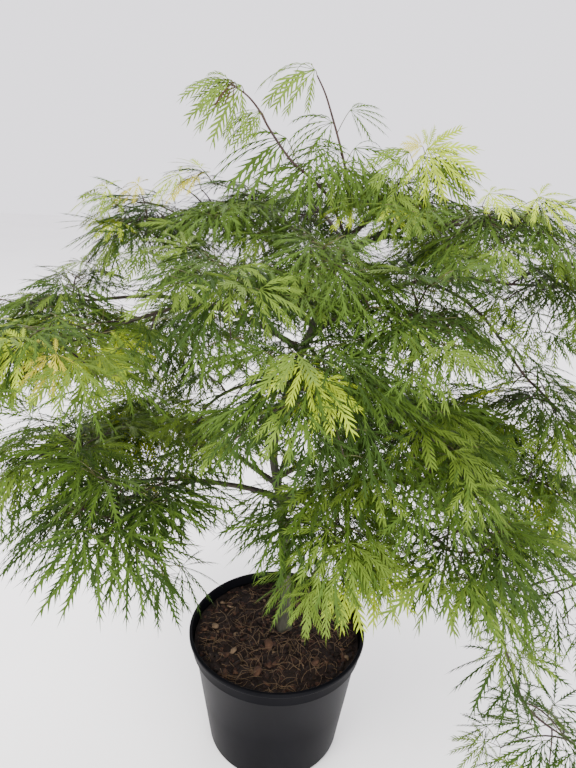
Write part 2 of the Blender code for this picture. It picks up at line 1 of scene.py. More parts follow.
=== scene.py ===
"""The looks of the potted weeping maple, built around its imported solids.

The limbs follow the rule and the numbers of the solids. Each mass of foliage grows on from
its limb by the same rule, with finer twigs and single leaves, near the reach of its solid.
"""
import json
import math
import random

import bpy
import numpy as np
from collections import namedtuple
from itertools import combinations
from mathutils import Matrix, Vector, noise

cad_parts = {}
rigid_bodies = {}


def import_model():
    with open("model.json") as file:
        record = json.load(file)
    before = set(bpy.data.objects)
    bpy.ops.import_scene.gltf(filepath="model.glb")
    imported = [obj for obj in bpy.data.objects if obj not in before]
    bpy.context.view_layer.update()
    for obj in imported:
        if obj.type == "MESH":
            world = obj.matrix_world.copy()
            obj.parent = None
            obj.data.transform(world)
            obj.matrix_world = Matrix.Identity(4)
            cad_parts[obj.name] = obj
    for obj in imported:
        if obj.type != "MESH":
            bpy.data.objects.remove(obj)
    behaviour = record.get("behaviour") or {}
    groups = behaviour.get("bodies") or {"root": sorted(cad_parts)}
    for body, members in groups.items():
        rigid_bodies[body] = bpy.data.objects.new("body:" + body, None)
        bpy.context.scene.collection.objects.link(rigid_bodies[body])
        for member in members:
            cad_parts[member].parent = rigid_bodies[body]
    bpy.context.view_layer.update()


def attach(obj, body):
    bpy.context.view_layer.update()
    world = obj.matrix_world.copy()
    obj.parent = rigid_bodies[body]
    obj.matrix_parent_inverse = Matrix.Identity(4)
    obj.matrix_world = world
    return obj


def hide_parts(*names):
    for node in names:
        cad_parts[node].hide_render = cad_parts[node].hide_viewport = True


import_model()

UP = Vector((0.0, 0.0, 1.0))
UP_ROW = np.array(UP)
FRONT = Vector((0.0, -1.0, 0.0))
FULL_TURN = 2.0 * math.pi
GOLDEN_ANGLE = math.pi * (3.0 - math.sqrt(5.0))

# Sizes shared with the solids
RIM_RADIUS = 0.115
POT_HEIGHT = 0.172
LIP_HEIGHT = 0.006
COLLAR_RADIUS = 0.1115
COLLAR_HEIGHT = 0.022
BODY_TOP_RADIUS = 0.1075
BASE_RADIUS = 0.0875
BASE_CORNER = 0.007
POT_WALL = 0.0018
POT_FLOOR = 0.0025
DRAIN_HOLES = 6
DRAIN_RADIUS = 0.006
DRAIN_CIRCLE = 0.062
DRAIN_TURN = 0.13
SOIL_TOP = 0.152
TRUNK_COURSE = [Vector(point) for point in (
    (0.009, 0.02, 0.1523), (0.009, 0.02, 0.25), (-0.003, 0.02, 0.349), (-0.013, 0.02, 0.42),
    (0.0, 0.02, 0.491), (0.035, 0.018, 0.606), (0.06, 0.015, 0.69),
)]
TRUNK_FOOT_RADIUS = 0.0068
TRUNK_TIP_RADIUS = 0.003
FLARE = 0.0065
FLARE_HEIGHT = 0.012
GRAFT_HEIGHT = 0.285
GRAFT_SWELL = 0.0018
GRAFT_LENGTH = 0.014
BOUGH_TIP_RADIUS = 0.0016
BOUGH_WANDER = 0.005
LIMB_TO_PARENT = 0.8
COURSE_STEPS = 24
ENTRY = 0.66
SEED = 4
SIDE_STEM_SHARES = (0.0, 0.125, 0.5, 0.85)

# The masses, as in the solids, with their number of twigs and the palette of their leaves, which paints
# light and shade on each mass as well as its leaves' age
Spray = namedtuple("Spray", "name parent start azimuth reach height arch radius size twigs palette")
SPRAYS = [Spray(*row) for row in (
    ("low_left_outer", "trunk", 0.352, 186, 0.262, 0.38, 0.02, 0.004, (0.118, 0.115, 0.078), 9, "bright"),
    ("low_left_front", "low_left_outer", 0.55, 217, 0.225, 0.374, 0.012, 0.0028,
     (0.115, 0.11, 0.078), 8, "shade"),
    ("low_left_back", "trunk", 0.372, 147, 0.235, 0.388, 0.025, 0.0034, (0.118, 0.11, 0.08), 10, "young"),
    ("low_back", "trunk", 0.362, 80, 0.21, 0.385, 0.025, 0.0034, (0.11, 0.1, 0.078), 9, "shade"),
    ("low_right_back", "trunk", 0.38, 42, 0.24, 0.39, 0.025, 0.0034, (0.118, 0.115, 0.08), 9, "shade"),
    ("low_right_outer", "trunk", 0.35, 357, 0.268, 0.38, 0.025, 0.004, (0.118, 0.115, 0.08), 9, "bright"),
    ("low_right_front", "low_right_outer", 0.45, 321, 0.222, 0.352, 0.015, 0.003,
     (0.115, 0.11, 0.074), 6, "leafy"),
    ("low_front", "trunk", 0.368, 294, 0.15, 0.355, 0.03, 0.0028, (0.092, 0.095, 0.074), 6, "leafy"),
    ("low_right_drop", "low_right_outer", 0.8, 342, 0.292, 0.268, 0.03, 0.0024,
     (0.092, 0.095, 0.07), 5, "leafy"),
    ("right_hanging", "low_right_front", 0.75, 333, 0.315, 0.18, 0.06, 0.0022,
     (0.08, 0.092, 0.076), 5, "leafy"),
    ("left_drop", "trunk", 0.5, 190, 0.118, 0.452, 0.03, 0.0026, (0.08, 0.078, 0.078), 5, "bright"),
    ("mid_right", "trunk", 0.47, 3, 0.2, 0.462, 0.03, 0.003, (0.1, 0.1, 0.074), 9, "leafy"),
    ("right_outer", "trunk", 0.56, 359, 0.272, 0.622, 0.045, 0.004, (0.106, 0.108, 0.064), 9, "leafy"),
    ("right_drop", "right_outer", 0.62, 4, 0.286, 0.505, 0.03, 0.0022, (0.098, 0.1, 0.074), 8, "bright"),
    ("mid_front_right", "trunk", 0.5, 311, 0.175, 0.482, 0.035, 0.0028, (0.095, 0.1, 0.076), 9, "leafy"),
    ("front_centre", "trunk", 0.54, 278, 0.185, 0.568, 0.03, 0.0026, (0.095, 0.1, 0.066), 11, "shade"),
    ("left_outer", "trunk", 0.545, 181, 0.265, 0.584, 0.04, 0.0036, (0.112, 0.11, 0.07), 10, "bright"),
    ("left_front", "left_outer", 0.45, 210, 0.245, 0.562, 0.022, 0.0026, (0.112, 0.11, 0.08), 9, "bright"),
    ("mid_left_back", "trunk", 0.578, 126, 0.225, 0.55, 0.04, 0.0032, (0.112, 0.105, 0.08), 10, "leafy"),
    ("mid_back", "trunk", 0.555, 73, 0.225, 0.53, 0.045, 0.0032, (0.105, 0.105, 0.08), 11, "shade"),
    ("left_high", "trunk", 0.63, 169, 0.172, 0.672, 0.028, 0.0028, (0.1, 0.098, 0.058), 10, "bright"),
    ("upper_left_front", "trunk", 0.605, 240, 0.145, 0.632, 0.025, 0.0026,
     (0.095, 0.098, 0.064), 10, "leafy"),
    ("upper_right_front", "trunk", 0.59, 321, 0.185, 0.592, 0.035, 0.0028, (0.098, 0.1, 0.066), 12, "leafy"),
    ("right_back", "trunk", 0.64, 36, 0.24, 0.622, 0.04, 0.0032, (0.11, 0.108, 0.074), 10, "leafy"),
    ("right_high", "trunk", 0.66, 346, 0.21, 0.69, 0.022, 0.0028, (0.105, 0.098, 0.054), 10, "bright"),
    ("upper_front", "trunk", 0.619, 285, 0.1, 0.668, 0.02, 0.0, (0.085, 0.085, 0.058), 10, "leafy"),
    ("crown_left", "trunk", 0.65, 160, 0.075, 0.698, 0.015, 0.0, (0.09, 0.09, 0.058), 11, "bright"),
    ("crown_back", "trunk", 0.665, 88, 0.145, 0.675, 0.025, 0.0, (0.1, 0.105, 0.066), 10, "bright"),
    ("crown_right", "trunk", 0.652, 14, 0.12, 0.708, 0.015, 0.0, (0.085, 0.09, 0.056), 11, "bright"),
    ("top", "trunk", None, 50, 0.028, 0.797, 0.01, 0.0, (0.092, 0.092, 0.074), 5, "bright"),
    ("top_left", "trunk", 0.676, 202, 0.085, 0.799, 0.02, 0.0, (0.08, 0.078, 0.056), 3, "young"),
    ("top_right", "trunk", 0.668, 355, 0.152, 0.758, 0.02, 0.0, (0.078, 0.078, 0.056), 2, "tip"),
)]

# Leaf colours from old to young, and how often each palette deals them. Besides the leaves' age, the
# palettes are painted light and shade: the shade palette deals darker leaves as painted shade to masses that
# lie in shade, and the bright palette, like the young one on low_left_back, deals lighter leaves as painted
# light to masses that should look lit.
LEAF_COLOURS = {
    "deep": (0.019, 0.04, 0.005),
    "mid": (0.041, 0.076, 0.009),
    "fresh": (0.083, 0.132, 0.016),
    "lime": (0.225, 0.3, 0.016),
    "gold": (0.32, 0.3, 0.028),
    "dried": (0.034, 0.019, 0.01),
}
PALETTES = {
    "shade": (0.56, 0.38, 0.06, 0.0, 0.0),
    "leafy": (0.3, 0.49, 0.21, 0.0, 0.0),
    "bright": (0.18, 0.46, 0.32, 0.04, 0.0),
    "young": (0.08, 0.36, 0.44, 0.11, 0.01),
    "tip": (0.0, 0.06, 0.4, 0.36, 0.18),
}


# Courses and spaces: the rule of the solids

def smooth_course(knots, share):
    """The point at a share of a smooth curve through the knots."""
    spans = len(knots) - 1
    span = min(int(share * spans), spans - 1)
    local = share * spans - span
    before = knots[max(span - 1, 0)]
    start = knots[span]
    end = knots[span + 1]
    after = knots[min(span + 2, spans)]
    linear = (end - before) * local
    square = (before * 2.0 - start * 5.0 + end * 4.0 - after) * local ** 2
    cube = (start * 3.0 - end * 3.0 + after - before) * local ** 3
    return start + (linear + square + cube) * 0.5


def smooth_line(knots, count):
    """Evenly shared points on the smooth curve through the knots."""
    return [smooth_course(knots, index / count) for index in range(count + 1)]


def step_lengths(points):
    return [(end - start).length for start, end in zip(points, points[1:])]


def point_at_height(points, height):
    for low, high in zip(points, points[1:]):
        if high.z >= height:
            return low.lerp(high, (height - low.z) / (high.z - low.z))
    return points[-1].copy()


def point_at_share(points, share):
    lengths = step_lengths(points)
    remaining = share * sum(lengths)
    for start, end, length in zip(points, points[1:], lengths):
        if remaining <= length:
            return start.lerp(end, remaining / length)
        remaining -= length
    return points[-1].copy()


def bezier(points, count):
    """Points on the Bezier curve of three or four control points."""
    curve = []
    for index in range(count + 1):
        level = list(points)
        while len(level) > 1:
            level = [low.lerp(high, index / count) for low, high in zip(level, level[1:])]
        curve.append(level[0])
    return curve


def wandering_arch(start, end, arch, rng):
    """Points along an arch that strays a little to each side."""
    side = (end - start).cross(UP).normalized()
    sway = BOUGH_WANDER * rng.uniform(0.5, 1.0) * rng.choice((-1.0, 1.0))
    points = bezier([start, (start + end) * 0.5 + UP * (2.0 * arch), end], COURSE_STEPS)
    for index, point in enumerate(points):
        share = index / COURSE_STEPS
        point += side * (sway * (math.sin(2.0 * math.pi * share) + 0.4 * math.sin(5.0 * math.pi * share)))
    return points


def trunk_radius(height):
    rise = (height - SOIL_TOP) / (TRUNK_COURSE[-1].z - SOIL_TOP)
    plain = TRUNK_FOOT_RADIUS + (TRUNK_TIP_RADIUS - TRUNK_FOOT_RADIUS) * rise
    flare = FLARE * math.exp(-(height - SOIL_TOP) / FLARE_HEIGHT)
    graft = GRAFT_SWELL * math.exp(-((height - GRAFT_HEIGHT) / GRAFT_LENGTH) ** 2)
    return plain + flare + graft


def on_circle(radius, turn, height=0.0):
    return Vector((radius * math.cos(turn), radius * math.sin(turn), height))


def taper(start, end, count):
    return [start + (end - start) * index / (count - 1) for index in range(count)]


class Space:
    """The ellipsoid that one mass of foliage fills."""

    def __init__(self, spray):
        self.spray = spray
        self.heading = on_circle(1.0, math.radians(spray.azimuth))
        self.side = UP.cross(self.heading)
        self.centre = self.heading * spray.reach + UP * spray.height
        self.size = Vector(spray.size)

    def offset(self, point):
        away = point - self.centre
        along = away.dot(self.heading) / self.size.x
        across = away.dot(self.side) / self.size.y
        return Vector((along, across, away.z / self.size.z))

    def point(self, along, across, up):
        level = self.heading * (along * self.size.x) + self.side * (across * self.size.y)
        return self.centre + level + UP * (up * self.size.z)


# Meshes: points and triangles are gathered in arrays and joined by kind

class Batch:
    """Points and triangles of many small things that become one piece."""

    def __init__(self):
        self.points = []
        self.faces = []
        self.count = 0
        self.triangles = 0

    def add(self, points, faces):
        self.points.append(np.asarray(points, float))
        self.faces.append(np.asarray(faces, int) + self.count)
        self.count += len(points)
        self.triangles += len(faces)

    def object(self, name, smooth=True):
        points = np.concatenate(self.points)
        faces = np.concatenate(self.faces)
        mesh = bpy.data.meshes.new(name)
        mesh.vertices.add(len(points))
        mesh.vertices.foreach_set("co", points.astype(np.float32).ravel())
        mesh.loops.add(faces.size)
        mesh.loops.foreach_set("vertex_index", faces.astype(np.int32).ravel())
        mesh.polygons.add(len(faces))
        mesh.polygons.foreach_set("loop_start", np.arange(0, faces.size, 3, dtype=np.int32))
        mesh.update(calc_edges=True)
        if smooth:
            mesh.shade_smooth()
        return placed(name, mesh)


def placed(name, data):
    """A new object of this data in the scene."""
    obj = bpy.data.objects.new(name, data)
    bpy.context.scene.collection.objects.link(obj)
    return obj


def around(sides):
    """Even turns round a circle."""
    return FULL_TURN * np.arange(sides) / sides


def skin_faces(rows, sides):
    """Triangles of a closed skin over rings of points, which its two end points follow."""
    near = np.arange(sides)
    far = (near + 1) % sides
    faces = []
    for low in range(0, (rows - 1) * sides, sides):
        high = low + sides
        faces.append(np.stack([low + near, low + far, high + far], axis=1))
        faces.append(np.stack([low + near, high + far, high + near], axis=1))
    end = np.full(sides, rows * sides)
    last = (rows - 1) * sides
    faces.append(np.stack([end, far, near], axis=1))
    faces.append(np.stack([end + 1, last + near, last + far], axis=1))
    return np.concatenate(faces)


def frames_along(points):
    """Two directions square to the course at each point, with no twist between them."""
    tangents = []
    for index in range(len(points)):
        before = points[max(index - 1, 0)]
        after = points[min(index + 1, len(points) - 1)]
        tangents.append((after - before).normalized())
    first = tangents[0].cross(Vector((0.31, 0.95, 0.05))).normalized()
    firsts = [first]
    for before, after in zip(tangents, tangents[1:]):
        first = (before.rotation_difference(after) @ first).normalized()
        firsts.append(first)
    seconds = [tangent.cross(side) for tangent, side in zip(tangents, firsts)]
    return np.array(firsts), np.array(seconds)


def tube(points, radii, sides, relief=None):
    """A closed tube with one radius for each point, and with relief where a rule is given."""
    firsts, seconds = frames_along(points)
    centres = np.array([tuple(point) for point in points])
    turns = around(sides)
    radii = np.repeat(np.asarray(radii, float)[:, None], sides, axis=1)
    outward = (firsts[:, None, :] * np.cos(turns)[None, :, None]
               + seconds[:, None, :] * np.sin(turns)[None, :, None])
    if relief:
        radii = radii + [[relief(row, centre[2], turn) for turn in turns]
                         for row, centre in enumerate(centres)]
    rings = centres[:, None, :] + outward * radii[:, :, None]
    vertices = np.concatenate([rings.reshape(-1, 3), centres[:1], centres[-1:]])
    return vertices, skin_faces(len(centres), sides)


# Materials

# A noise pattern: its marks per metre, detail, roughness and stretch
Pattern = namedtuple("Pattern", "scale detail roughness stretch", defaults=(0.55, (1.0, 1.0, 1.0)))


def noise_node(tree, pattern):
    place = tree.nodes.new("ShaderNodeTexCoord")
    mapping = tree.nodes.new("ShaderNodeMapping")
    mapping.inputs["Scale"].default_value = pattern.stretch
    texture = tree.nodes.new("ShaderNodeTexNoise")
    texture.inputs["Scale"].default_value = pattern.scale
    texture.inputs["Detail"].default_value = pattern.detail
    texture.inputs["Roughness"].default_value = pattern.roughness
    tree.links.new(place.outputs["Object"], mapping.inputs["Vector"])
    tree.links.new(mapping.outputs["Vector"], texture.inputs["Vector"])
    return texture.outputs["Fac"]


def patchy_material(name, roughness, specular, patches, stops, grain=None, strength=0.6, depth=0.0):
    """Base colours in soft patches, with a fine bump where a grain is given."""
    material = bpy.data.materials.new(name)
    material.use_nodes = True
    tree = material.node_tree
    shader = tree.nodes["Principled BSDF"]
    shader.inputs["Roughness"].default_value = roughness
    shader.inputs["Specular IOR Level"].default_value = specular
    ramp = tree.nodes.new("ShaderNodeValToRGB")
    elements = ramp.color_ramp.elements
    while len(elements) < len(stops):
        elements.new(0.5)
    for element, (position, colour) in zip(elements, stops):
        element.position = position
        element.color = (*colour, 1.0)
    tree.links.new(noise_node(tree, patches), ramp.inputs["Fac"])
    tree.links.new(ramp.outputs["Color"], shader.inputs["Base Color"])
    if grain:
        bump = tree.nodes.new("ShaderNodeBump")
        bump.inputs["Strength"].default_value = strength
        bump.inputs["Distance"].default_value = depth
        tree.links.new(noise_node(tree, grain), bump.inputs["Height"])
        tree.links.new(bump.outputs["Normal"], shader.inputs["Normal"])
    return material


def leaf_material(name, colour):
    """A plain leaf colour that varies a little from leaf to leaf and along each."""
    darker, lighter = ([min(1.0, channel * factor) for channel in colour] for factor in (0.8, 1.22))
    return patchy_material(name, 0.55, 0.08, Pattern(38.0, 3.0), ((0.32, darker), (0.68, lighter)))


def bark_material(name, stops, patches, grain, depth, roughness, upward=1.0):
    """Patches and a grain, both given by their marks per metre."""
    stretch = (1.0, 1.0, upward)
    return patchy_material(name, roughness, 0.3, Pattern(patches, 6.0, 0.62, stretch), stops,
                           Pattern(grain, 5.0, 0.7, stretch), depth=depth)


def finish_piece(obj, material, nodes):
    obj.data.materials.append(material)
    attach(obj, "root")
    if nodes:
        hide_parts(*nodes)


# Pot

COLLAR_FOOT = POT_HEIGHT - COLLAR_HEIGHT
POT_SIDES = 192
POT_EDGE = 0.0012
POT_LIP = 0.0022
POT_FILLET = 0.0008
COLLAR_ROUND = 0.001
WAIST_HEIGHT = 0.075
DRAIN_REACH = (-0.006, 0.01)
DRAIN_SIDES = 24
SHARP_EDGE = math.radians(38.0)
PLASTIC = ((0.35, (0.0016, 0.0017, 0.0024)), (0.62, (0.0026, 0.0027, 0.0036)),
           (0.8, (0.006, 0.0061, 0.0072)))


def pot_outer_radius(height):
    return BASE_RADIUS + (BODY_TOP_RADIUS - BASE_RADIUS) * height / COLLAR_FOOT


def arc(radius, height, size, start, end, steps):
    """Points of a round in the profile's plane, from one angle in degrees to another."""
    turns = [math.radians(start + (end - start) * step / steps) for step in range(steps + 1)]
    return [(radius + size * math.cos(turn), height + size * math.sin(turn)) for turn in turns]


def pot_profile():
    """Inside wall, collar, rolled rim, outside collar, body and rounded corner."""
    foot = COLLAR_FOOT
    under_lip = POT_HEIGHT - LIP_HEIGHT
    corner = pot_outer_radius(BASE_CORNER) - BASE_CORNER
    inner = pot_outer_radius(BASE_CORNER) - POT_WALL
    profile = arc(inner - BASE_CORNER, POT_FLOOR + BASE_CORNER, BASE_CORNER, 270, 360, 6)
    profile.append((pot_outer_radius(foot - 0.004) - POT_WALL, foot - 0.004))
    profile.append((COLLAR_RADIUS - POT_WALL, foot + 0.001))
    profile.append((COLLAR_RADIUS - POT_WALL * 0.6, POT_HEIGHT - 0.0016))
    profile += arc(COLLAR_RADIUS + 0.0004, POT_HEIGHT - POT_EDGE, POT_EDGE, 180, 90, 4)
    profile += arc(RIM_RADIUS - POT_LIP, POT_HEIGHT - POT_LIP, POT_LIP, 90, 0, 6)
    profile += arc(RIM_RADIUS - POT_EDGE, under_lip + POT_EDGE, POT_EDGE, 0, -90, 4)
    profile += arc(COLLAR_RADIUS + POT_FILLET, under_lip - POT_FILLET, POT_FILLET, 90, 180, 3)
    profile.append((COLLAR_RADIUS - 0.0003, foot + 0.0014))
    profile += arc(COLLAR_RADIUS - 0.0013, foot + COLLAR_ROUND, COLLAR_ROUND, 0, -80, 4)
    profile.append((pot_outer_radius(foot - 0.002) + 0.0012, foot - 0.0004))
    profile.append((pot_outer_radius(foot - 0.003), foot - 0.0026))
    profile.append((pot_outer_radius(WAIST_HEIGHT), WAIST_HEIGHT))
    profile += arc(corner, BASE_CORNER, BASE_CORNER, 0, -90, 8)
    return profile


def cut_drains(pot):
    """The holes in the pot's floor."""
    cutters = Batch()
    for index in range(DRAIN_HOLES):
        centre = on_circle(DRAIN_CIRCLE, FULL_TURN * index / DRAIN_HOLES + DRAIN_TURN)
        ends = [centre + UP * height for height in DRAIN_REACH]
        cutters.add(*tube(ends, [DRAIN_RADIUS] * 2, DRAIN_SIDES))
    cut = pot.modifiers.new("drains", "BOOLEAN")
    cut.object = cutters.object("drain_cutters", smooth=False)
    cut.solver = "EXACT"
    depsgraph = bpy.context.evaluated_depsgraph_get()
    pot.data = bpy.data.meshes.new_from_object(pot.evaluated_get(depsgraph))
    bpy.data.objects.remove(cut.object, do_unlink=True)
    pot.modifiers.clear()


def build_pot():
    turns = around(POT_SIDES)
    profile = pot_profile()
    rings = [np.stack([radius * np.cos(turns), radius * np.sin(turns), np.full(POT_SIDES, height)], axis=1)
             for radius, height in profile]
    batch = Batch()
    batch.add(np.concatenate(rings + [[(0.0, 0.0, POT_FLOOR), (0.0, 0.0, 0.0)]]),
              skin_faces(len(profile), POT_SIDES))
    pot = batch.object("nursery_pot")
    cut_drains(pot)
    pot.data.shade_smooth()
    pot.data.set_sharp_from_angle(angle=SHARP_EDGE)
    material = patchy_material("black_moulded_plastic", 0.42, 0.03, Pattern(26.0, 6.0, 0.6, (1.0, 1.0, 0.6)),
                               PLASTIC, Pattern(900.0, 2.0), 0.12, 0.0004)
    finish_piece(pot, material, ["pot"])


# Soil: an uneven bed with bark crumbs, chips and fibres lying on it

BED_EDGE = 0.1085
BED_SIDES = 150
BED_RINGS = 60
BED_DEPTH = 0.014
SKIRT_INSET = 0.006
# Unevenness of the bed: waves per metre, place in the noise and height
BED_WAVES = ((22.0, 1.7, 0.004), (85.0, 6.1, 0.0026), (260.0, 3.3, 0.0012))
DISH_RADIUS = 0.105
DISH_RISE = 0.003
DISH_FLOOR = 0.0012
MOUND_RISE = 0.003
MOUND_SPREAD = 0.0006
COMPOST = ((0.3, (0.0045, 0.0022, 0.0015)), (0.55, (0.012, 0.006, 0.004)), (0.78, (0.028, 0.014, 0.008)))


def bed_height(x, y):
    """Height of the compost: bumps in a shallow dish, and a mound round the trunk."""
    height = SOIL_TOP
    for waves, place, rise in BED_WAVES:
        height += noise.noise(Vector((x * waves, y * waves, place))) * rise
    trunk = TRUNK_COURSE[0]
    height += DISH_RISE * (math.hypot(x, y) / DISH_RADIUS) ** 4 + DISH_FLOOR
    return height + MOUND_RISE * math.exp(-((x - trunk.x) ** 2 + (y - trunk.y) ** 2) / MOUND_SPREAD)


def on_bed(spot, lift=0.0):
    """The place at the height of the compost, or lifted from it."""
    return Vector((spot.x, spot.y, bed_height(spot.x, spot.y) + lift))


def build_bed():
    under = SOIL_TOP - BED_DEPTH
    turns = around(BED_SIDES)
    points = []
    for ring in range(1, BED_RINGS + 1):
        points += [on_bed(on_circle(BED_EDGE * ring / BED_RINGS, turn)) for turn in turns]
    points += [on_circle(BED_EDGE - SKIRT_INSET, turn, under) for turn in turns]
    points += [on_bed(Vector()), UP * under]
    batch = Batch()
    batch.add([tuple(point) for point in points], skin_faces(BED_RINGS + 1, BED_SIDES)[:, ::-1])
    material = bark_material("dark_compost", COMPOST, 150.0, 520.0, 0.0012, 0.95)
    finish_piece(batch.object("compost_bed"), material, ["soil"])


# Kinds of crumbs and chips: the draw up to which each is dealt, its darker and lighter colour
CRUMBS = {
    "crumbs_dark": (0.62, (0.005, 0.0025, 0.002), (0.014, 0.007, 0.004)),
    "crumbs_brown": (1.0, (0.014, 0.006, 0.0035), (0.04, 0.017, 0.009)),
}
CHIPS = {
    "chips_dark": (0.72, (0.008, 0.004, 0.003), (0.026, 0.013, 0.007)),
    "chips_red": (0.965, (0.03, 0.014, 0.008), (0.085, 0.042, 0.021)),
    "chips_pale": (1.0, (0.09, 0.058, 0.033), (0.19, 0.13, 0.075)),
}
# Larger flakes that show in the pot: place, length, width and kind
LARGE_CHIPS = (
    (-0.022, -0.066, 0.016, 0.013, "chips_red"),
    (-0.083, 0.01, 0.012, 0.008, "chips_pale"),
    (-0.055, -0.032, 0.013, 0.008, "chips_pale"),
    (-0.01, -0.022, 0.02, 0.014, "chips_red"),
    (0.05, -0.05, 0.015, 0.01, "chips_red"),
    (0.03, 0.055, 0.018, 0.012, "chips_red"),
    (-0.04, 0.04, 0.014, 0.01, "chips_dark"),
)
STRAW = ((0.3, (0.05, 0.03, 0.016)), (0.75, (0.15, 0.098, 0.052)))
# Sizes of the litter: the least and what chance adds to it, or the two ends of a range
CRUMB_COUNT = 2100
CRUMB_REACH = 0.1055
CRUMB_SIZE = (0.0009, 0.003)
CHIP_COUNT = 360
CHIP_REACH = 0.103
CHIP_LENGTH = (0.004, 0.012)
CHIP_THICKNESSES = (0.0008, 0.0022)
CHIP_LIFT = 0.0016
CHIP_CURL = 3.0
LARGE_CHIP_LIFT = 0.0034
LARGE_CHIP_THICKNESS = 0.0022
FIBRE_COUNT = 330
FIBRE_STEPS = 6
FIBRE_LENGTHS = (0.008, 0.036)
FIBRE_BEND = 1.6
FIBRE_LIFT = (0.0022, 0.003)
FIBRE_RADII = (0.00042, 0.00022)
FIBRE_REACH = 0.1
FIBRE_LIMIT = 0.104
TRUNK_CLEARANCE = 0.014


def tumble(rng, *tilts):
    """A free turn about Z, with tilts about X and Y up to the angles given, as a matrix for rows."""
    turn = Matrix.Rotation(rng.uniform(0.0, 6.283), 3, "Z")
    for axis, limit in zip("XY", tilts):
        turn = turn @ Matrix.Rotation(rng.uniform(-limit, limit), 3, axis)
    return np.array(turn).T


def icosahedron():
    """Points and faces of a regular icosahedron whose edges are 2 long."""
    golden = (1.0 + math.sqrt(5.0)) / 2.0
    points = []
    for a, b in ((1.0, golden), (1.0, -golden), (-1.0, golden), (-1.0, -golden)):
        points += [(0.0, a, b), (a, b, 0.0), (b, 0.0, a)]
    points = np.array(points)
    faces = []
    for corners in combinations(range(len(points)), 3):
        a, b, c = points[list(corners)]
        if max(np.linalg.norm(side) for side in (a - b, b - c, c - a)) < 2.01:
            outward = np.dot(np.cross(b - a, c - a), a) > 0.0
            i, j, k = corners
            faces.append((i, j, k) if outward else (i, k, j))
    return points, faces


def crumb(rng, points, centre, size, flatness):
    """An irregular lump: an icosahedron pulled about at random."""
    points = points / np.linalg.norm(points[0])
    points *= np.array([[rng.uniform(0.65, 1.25)] for _ in points])
    points *= np.array((rng.uniform(0.8, 1.5), rng.uniform(0.6, 1.0), flatness))
    return points @ tumble(rng, 0.6) * size + np.array(centre)


def chip(rng, centre, length, width, thickness):
    """A torn flake of bark: an irregular thin plate that curls along its length."""
    corners = rng.randint(5, 7)
    outline = []
    for index in range(corners):
        turn = FULL_TURN * (index + rng.uniform(-0.25, 0.25)) / corners
        reach = rng.uniform(0.75, 1.1)
        outline.append((0.5 * length * reach * math.cos(turn), 0.5 * width * reach * math.sin(turn)))
    points = [(x, y, 0.5 * thickness * rng.uniform(0.6, 1.2) + CHIP_CURL * x * x) for x, y in outline]
    points += [(x * 0.94, y * 0.94, -0.5 * thickness + CHIP_CURL * x * x) for x, y in outline]
    faces = []
    for index in range(1, corners - 1):
        faces += [(0, index, index + 1), (corners, corners + index + 1, corners + index)]
    for index in range(corners):
        after = (index + 1) % corners
        faces += [(index, corners + index, corners + after), (index, corners + after, after)]
    return np.array(points) @ tumble(rng, 0.5, 0.35) + np.array(centre), faces


def soil_spot(rng, edge):
    """A random place on the compost, clear of the trunk."""
    while True:
        radius = edge * math.sqrt(rng.random())
        spot = on_circle(radius, rng.uniform(0.0, FULL_TURN))
        if (spot.xy - TRUNK_COURSE[0].xy).length > TRUNK_CLEARANCE:
            return spot


def deal(rng, kinds):
    """The name of one kind, drawn by its share."""
    draw = rng.random()
    return next(name for name, kind in kinds.items() if draw < kind[0])


def fibre(rng):
    """The course of one root fibre that lies on the compost."""
    spot = soil_spot(rng, FIBRE_REACH)
    length = rng.uniform(*FIBRE_LENGTHS)
    turn = rng.uniform(0.0, FULL_TURN)
    bend = rng.uniform(-FIBRE_BEND, FIBRE_BEND)
    points = []
    for index in range(FIBRE_STEPS + 1):
        share = index / FIBRE_STEPS
        spot = spot + on_circle(length / FIBRE_STEPS, turn + bend * share)
        if spot.xy.length > FIBRE_LIMIT:
            break
        lift = FIBRE_LIFT[0] + FIBRE_LIFT[1] * math.sin(math.pi * share) * rng.uniform(0.3, 1.0)
        points.append(on_bed(spot, lift))
    return points


def build_litter():
    rng = random.Random(71)
    litter = {name: Batch() for name in (*CRUMBS, *CHIPS)}
    lump, lump_faces = icosahedron()
    for _ in range(CRUMB_COUNT):
        spot = soil_spot(rng, CRUMB_REACH)
        size = CRUMB_SIZE[0] + CRUMB_SIZE[1] * rng.random() ** 2.6
        spot = on_bed(spot, size * rng.uniform(-0.1, 0.6))
        kind = deal(rng, CRUMBS)
        litter[kind].add(crumb(rng, lump, spot, size, rng.uniform(0.45, 0.9)), lump_faces)
    for _ in range(CHIP_COUNT):
        spot = soil_spot(rng, CHIP_REACH)
        length = CHIP_LENGTH[0] + CHIP_LENGTH[1] * rng.random() ** 2
        kind = deal(rng, CHIPS)
        width = length * rng.uniform(0.3, 0.7)
        thickness = rng.uniform(*CHIP_THICKNESSES)
        litter[kind].add(*chip(rng, on_bed(spot, CHIP_LIFT), length, width, thickness))
    for x, y, length, width, kind in LARGE_CHIPS:
        spot = on_bed(Vector((x, y, 0.0)), LARGE_CHIP_LIFT)
        litter[kind].add(*chip(rng, spot, length, width, LARGE_CHIP_THICKNESS))
    fibres = Batch()
    for _ in range(FIBRE_COUNT):
        points = fibre(rng)
        if len(points) > 3:
            fibres.add(*tube(points, taper(*FIBRE_RADII, len(points)), 4))
    for name, (_, darker, lighter) in (CRUMBS | CHIPS).items():
        stops = ((0.3, darker), (0.75, lighter))
        material = bark_material(f"{name}_bark", stops, 210.0, 700.0, 0.0006, 0.92)
        finish_piece(litter[name].object(name, smooth=False), material, [])
    material = bark_material("straw_fibre", STRAW, 60.0, 700.0, 0.0003, 0.85)
    finish_piece(fibres.object("root_fibres"), material, [])


# Trunk and boughs with the bark's relief

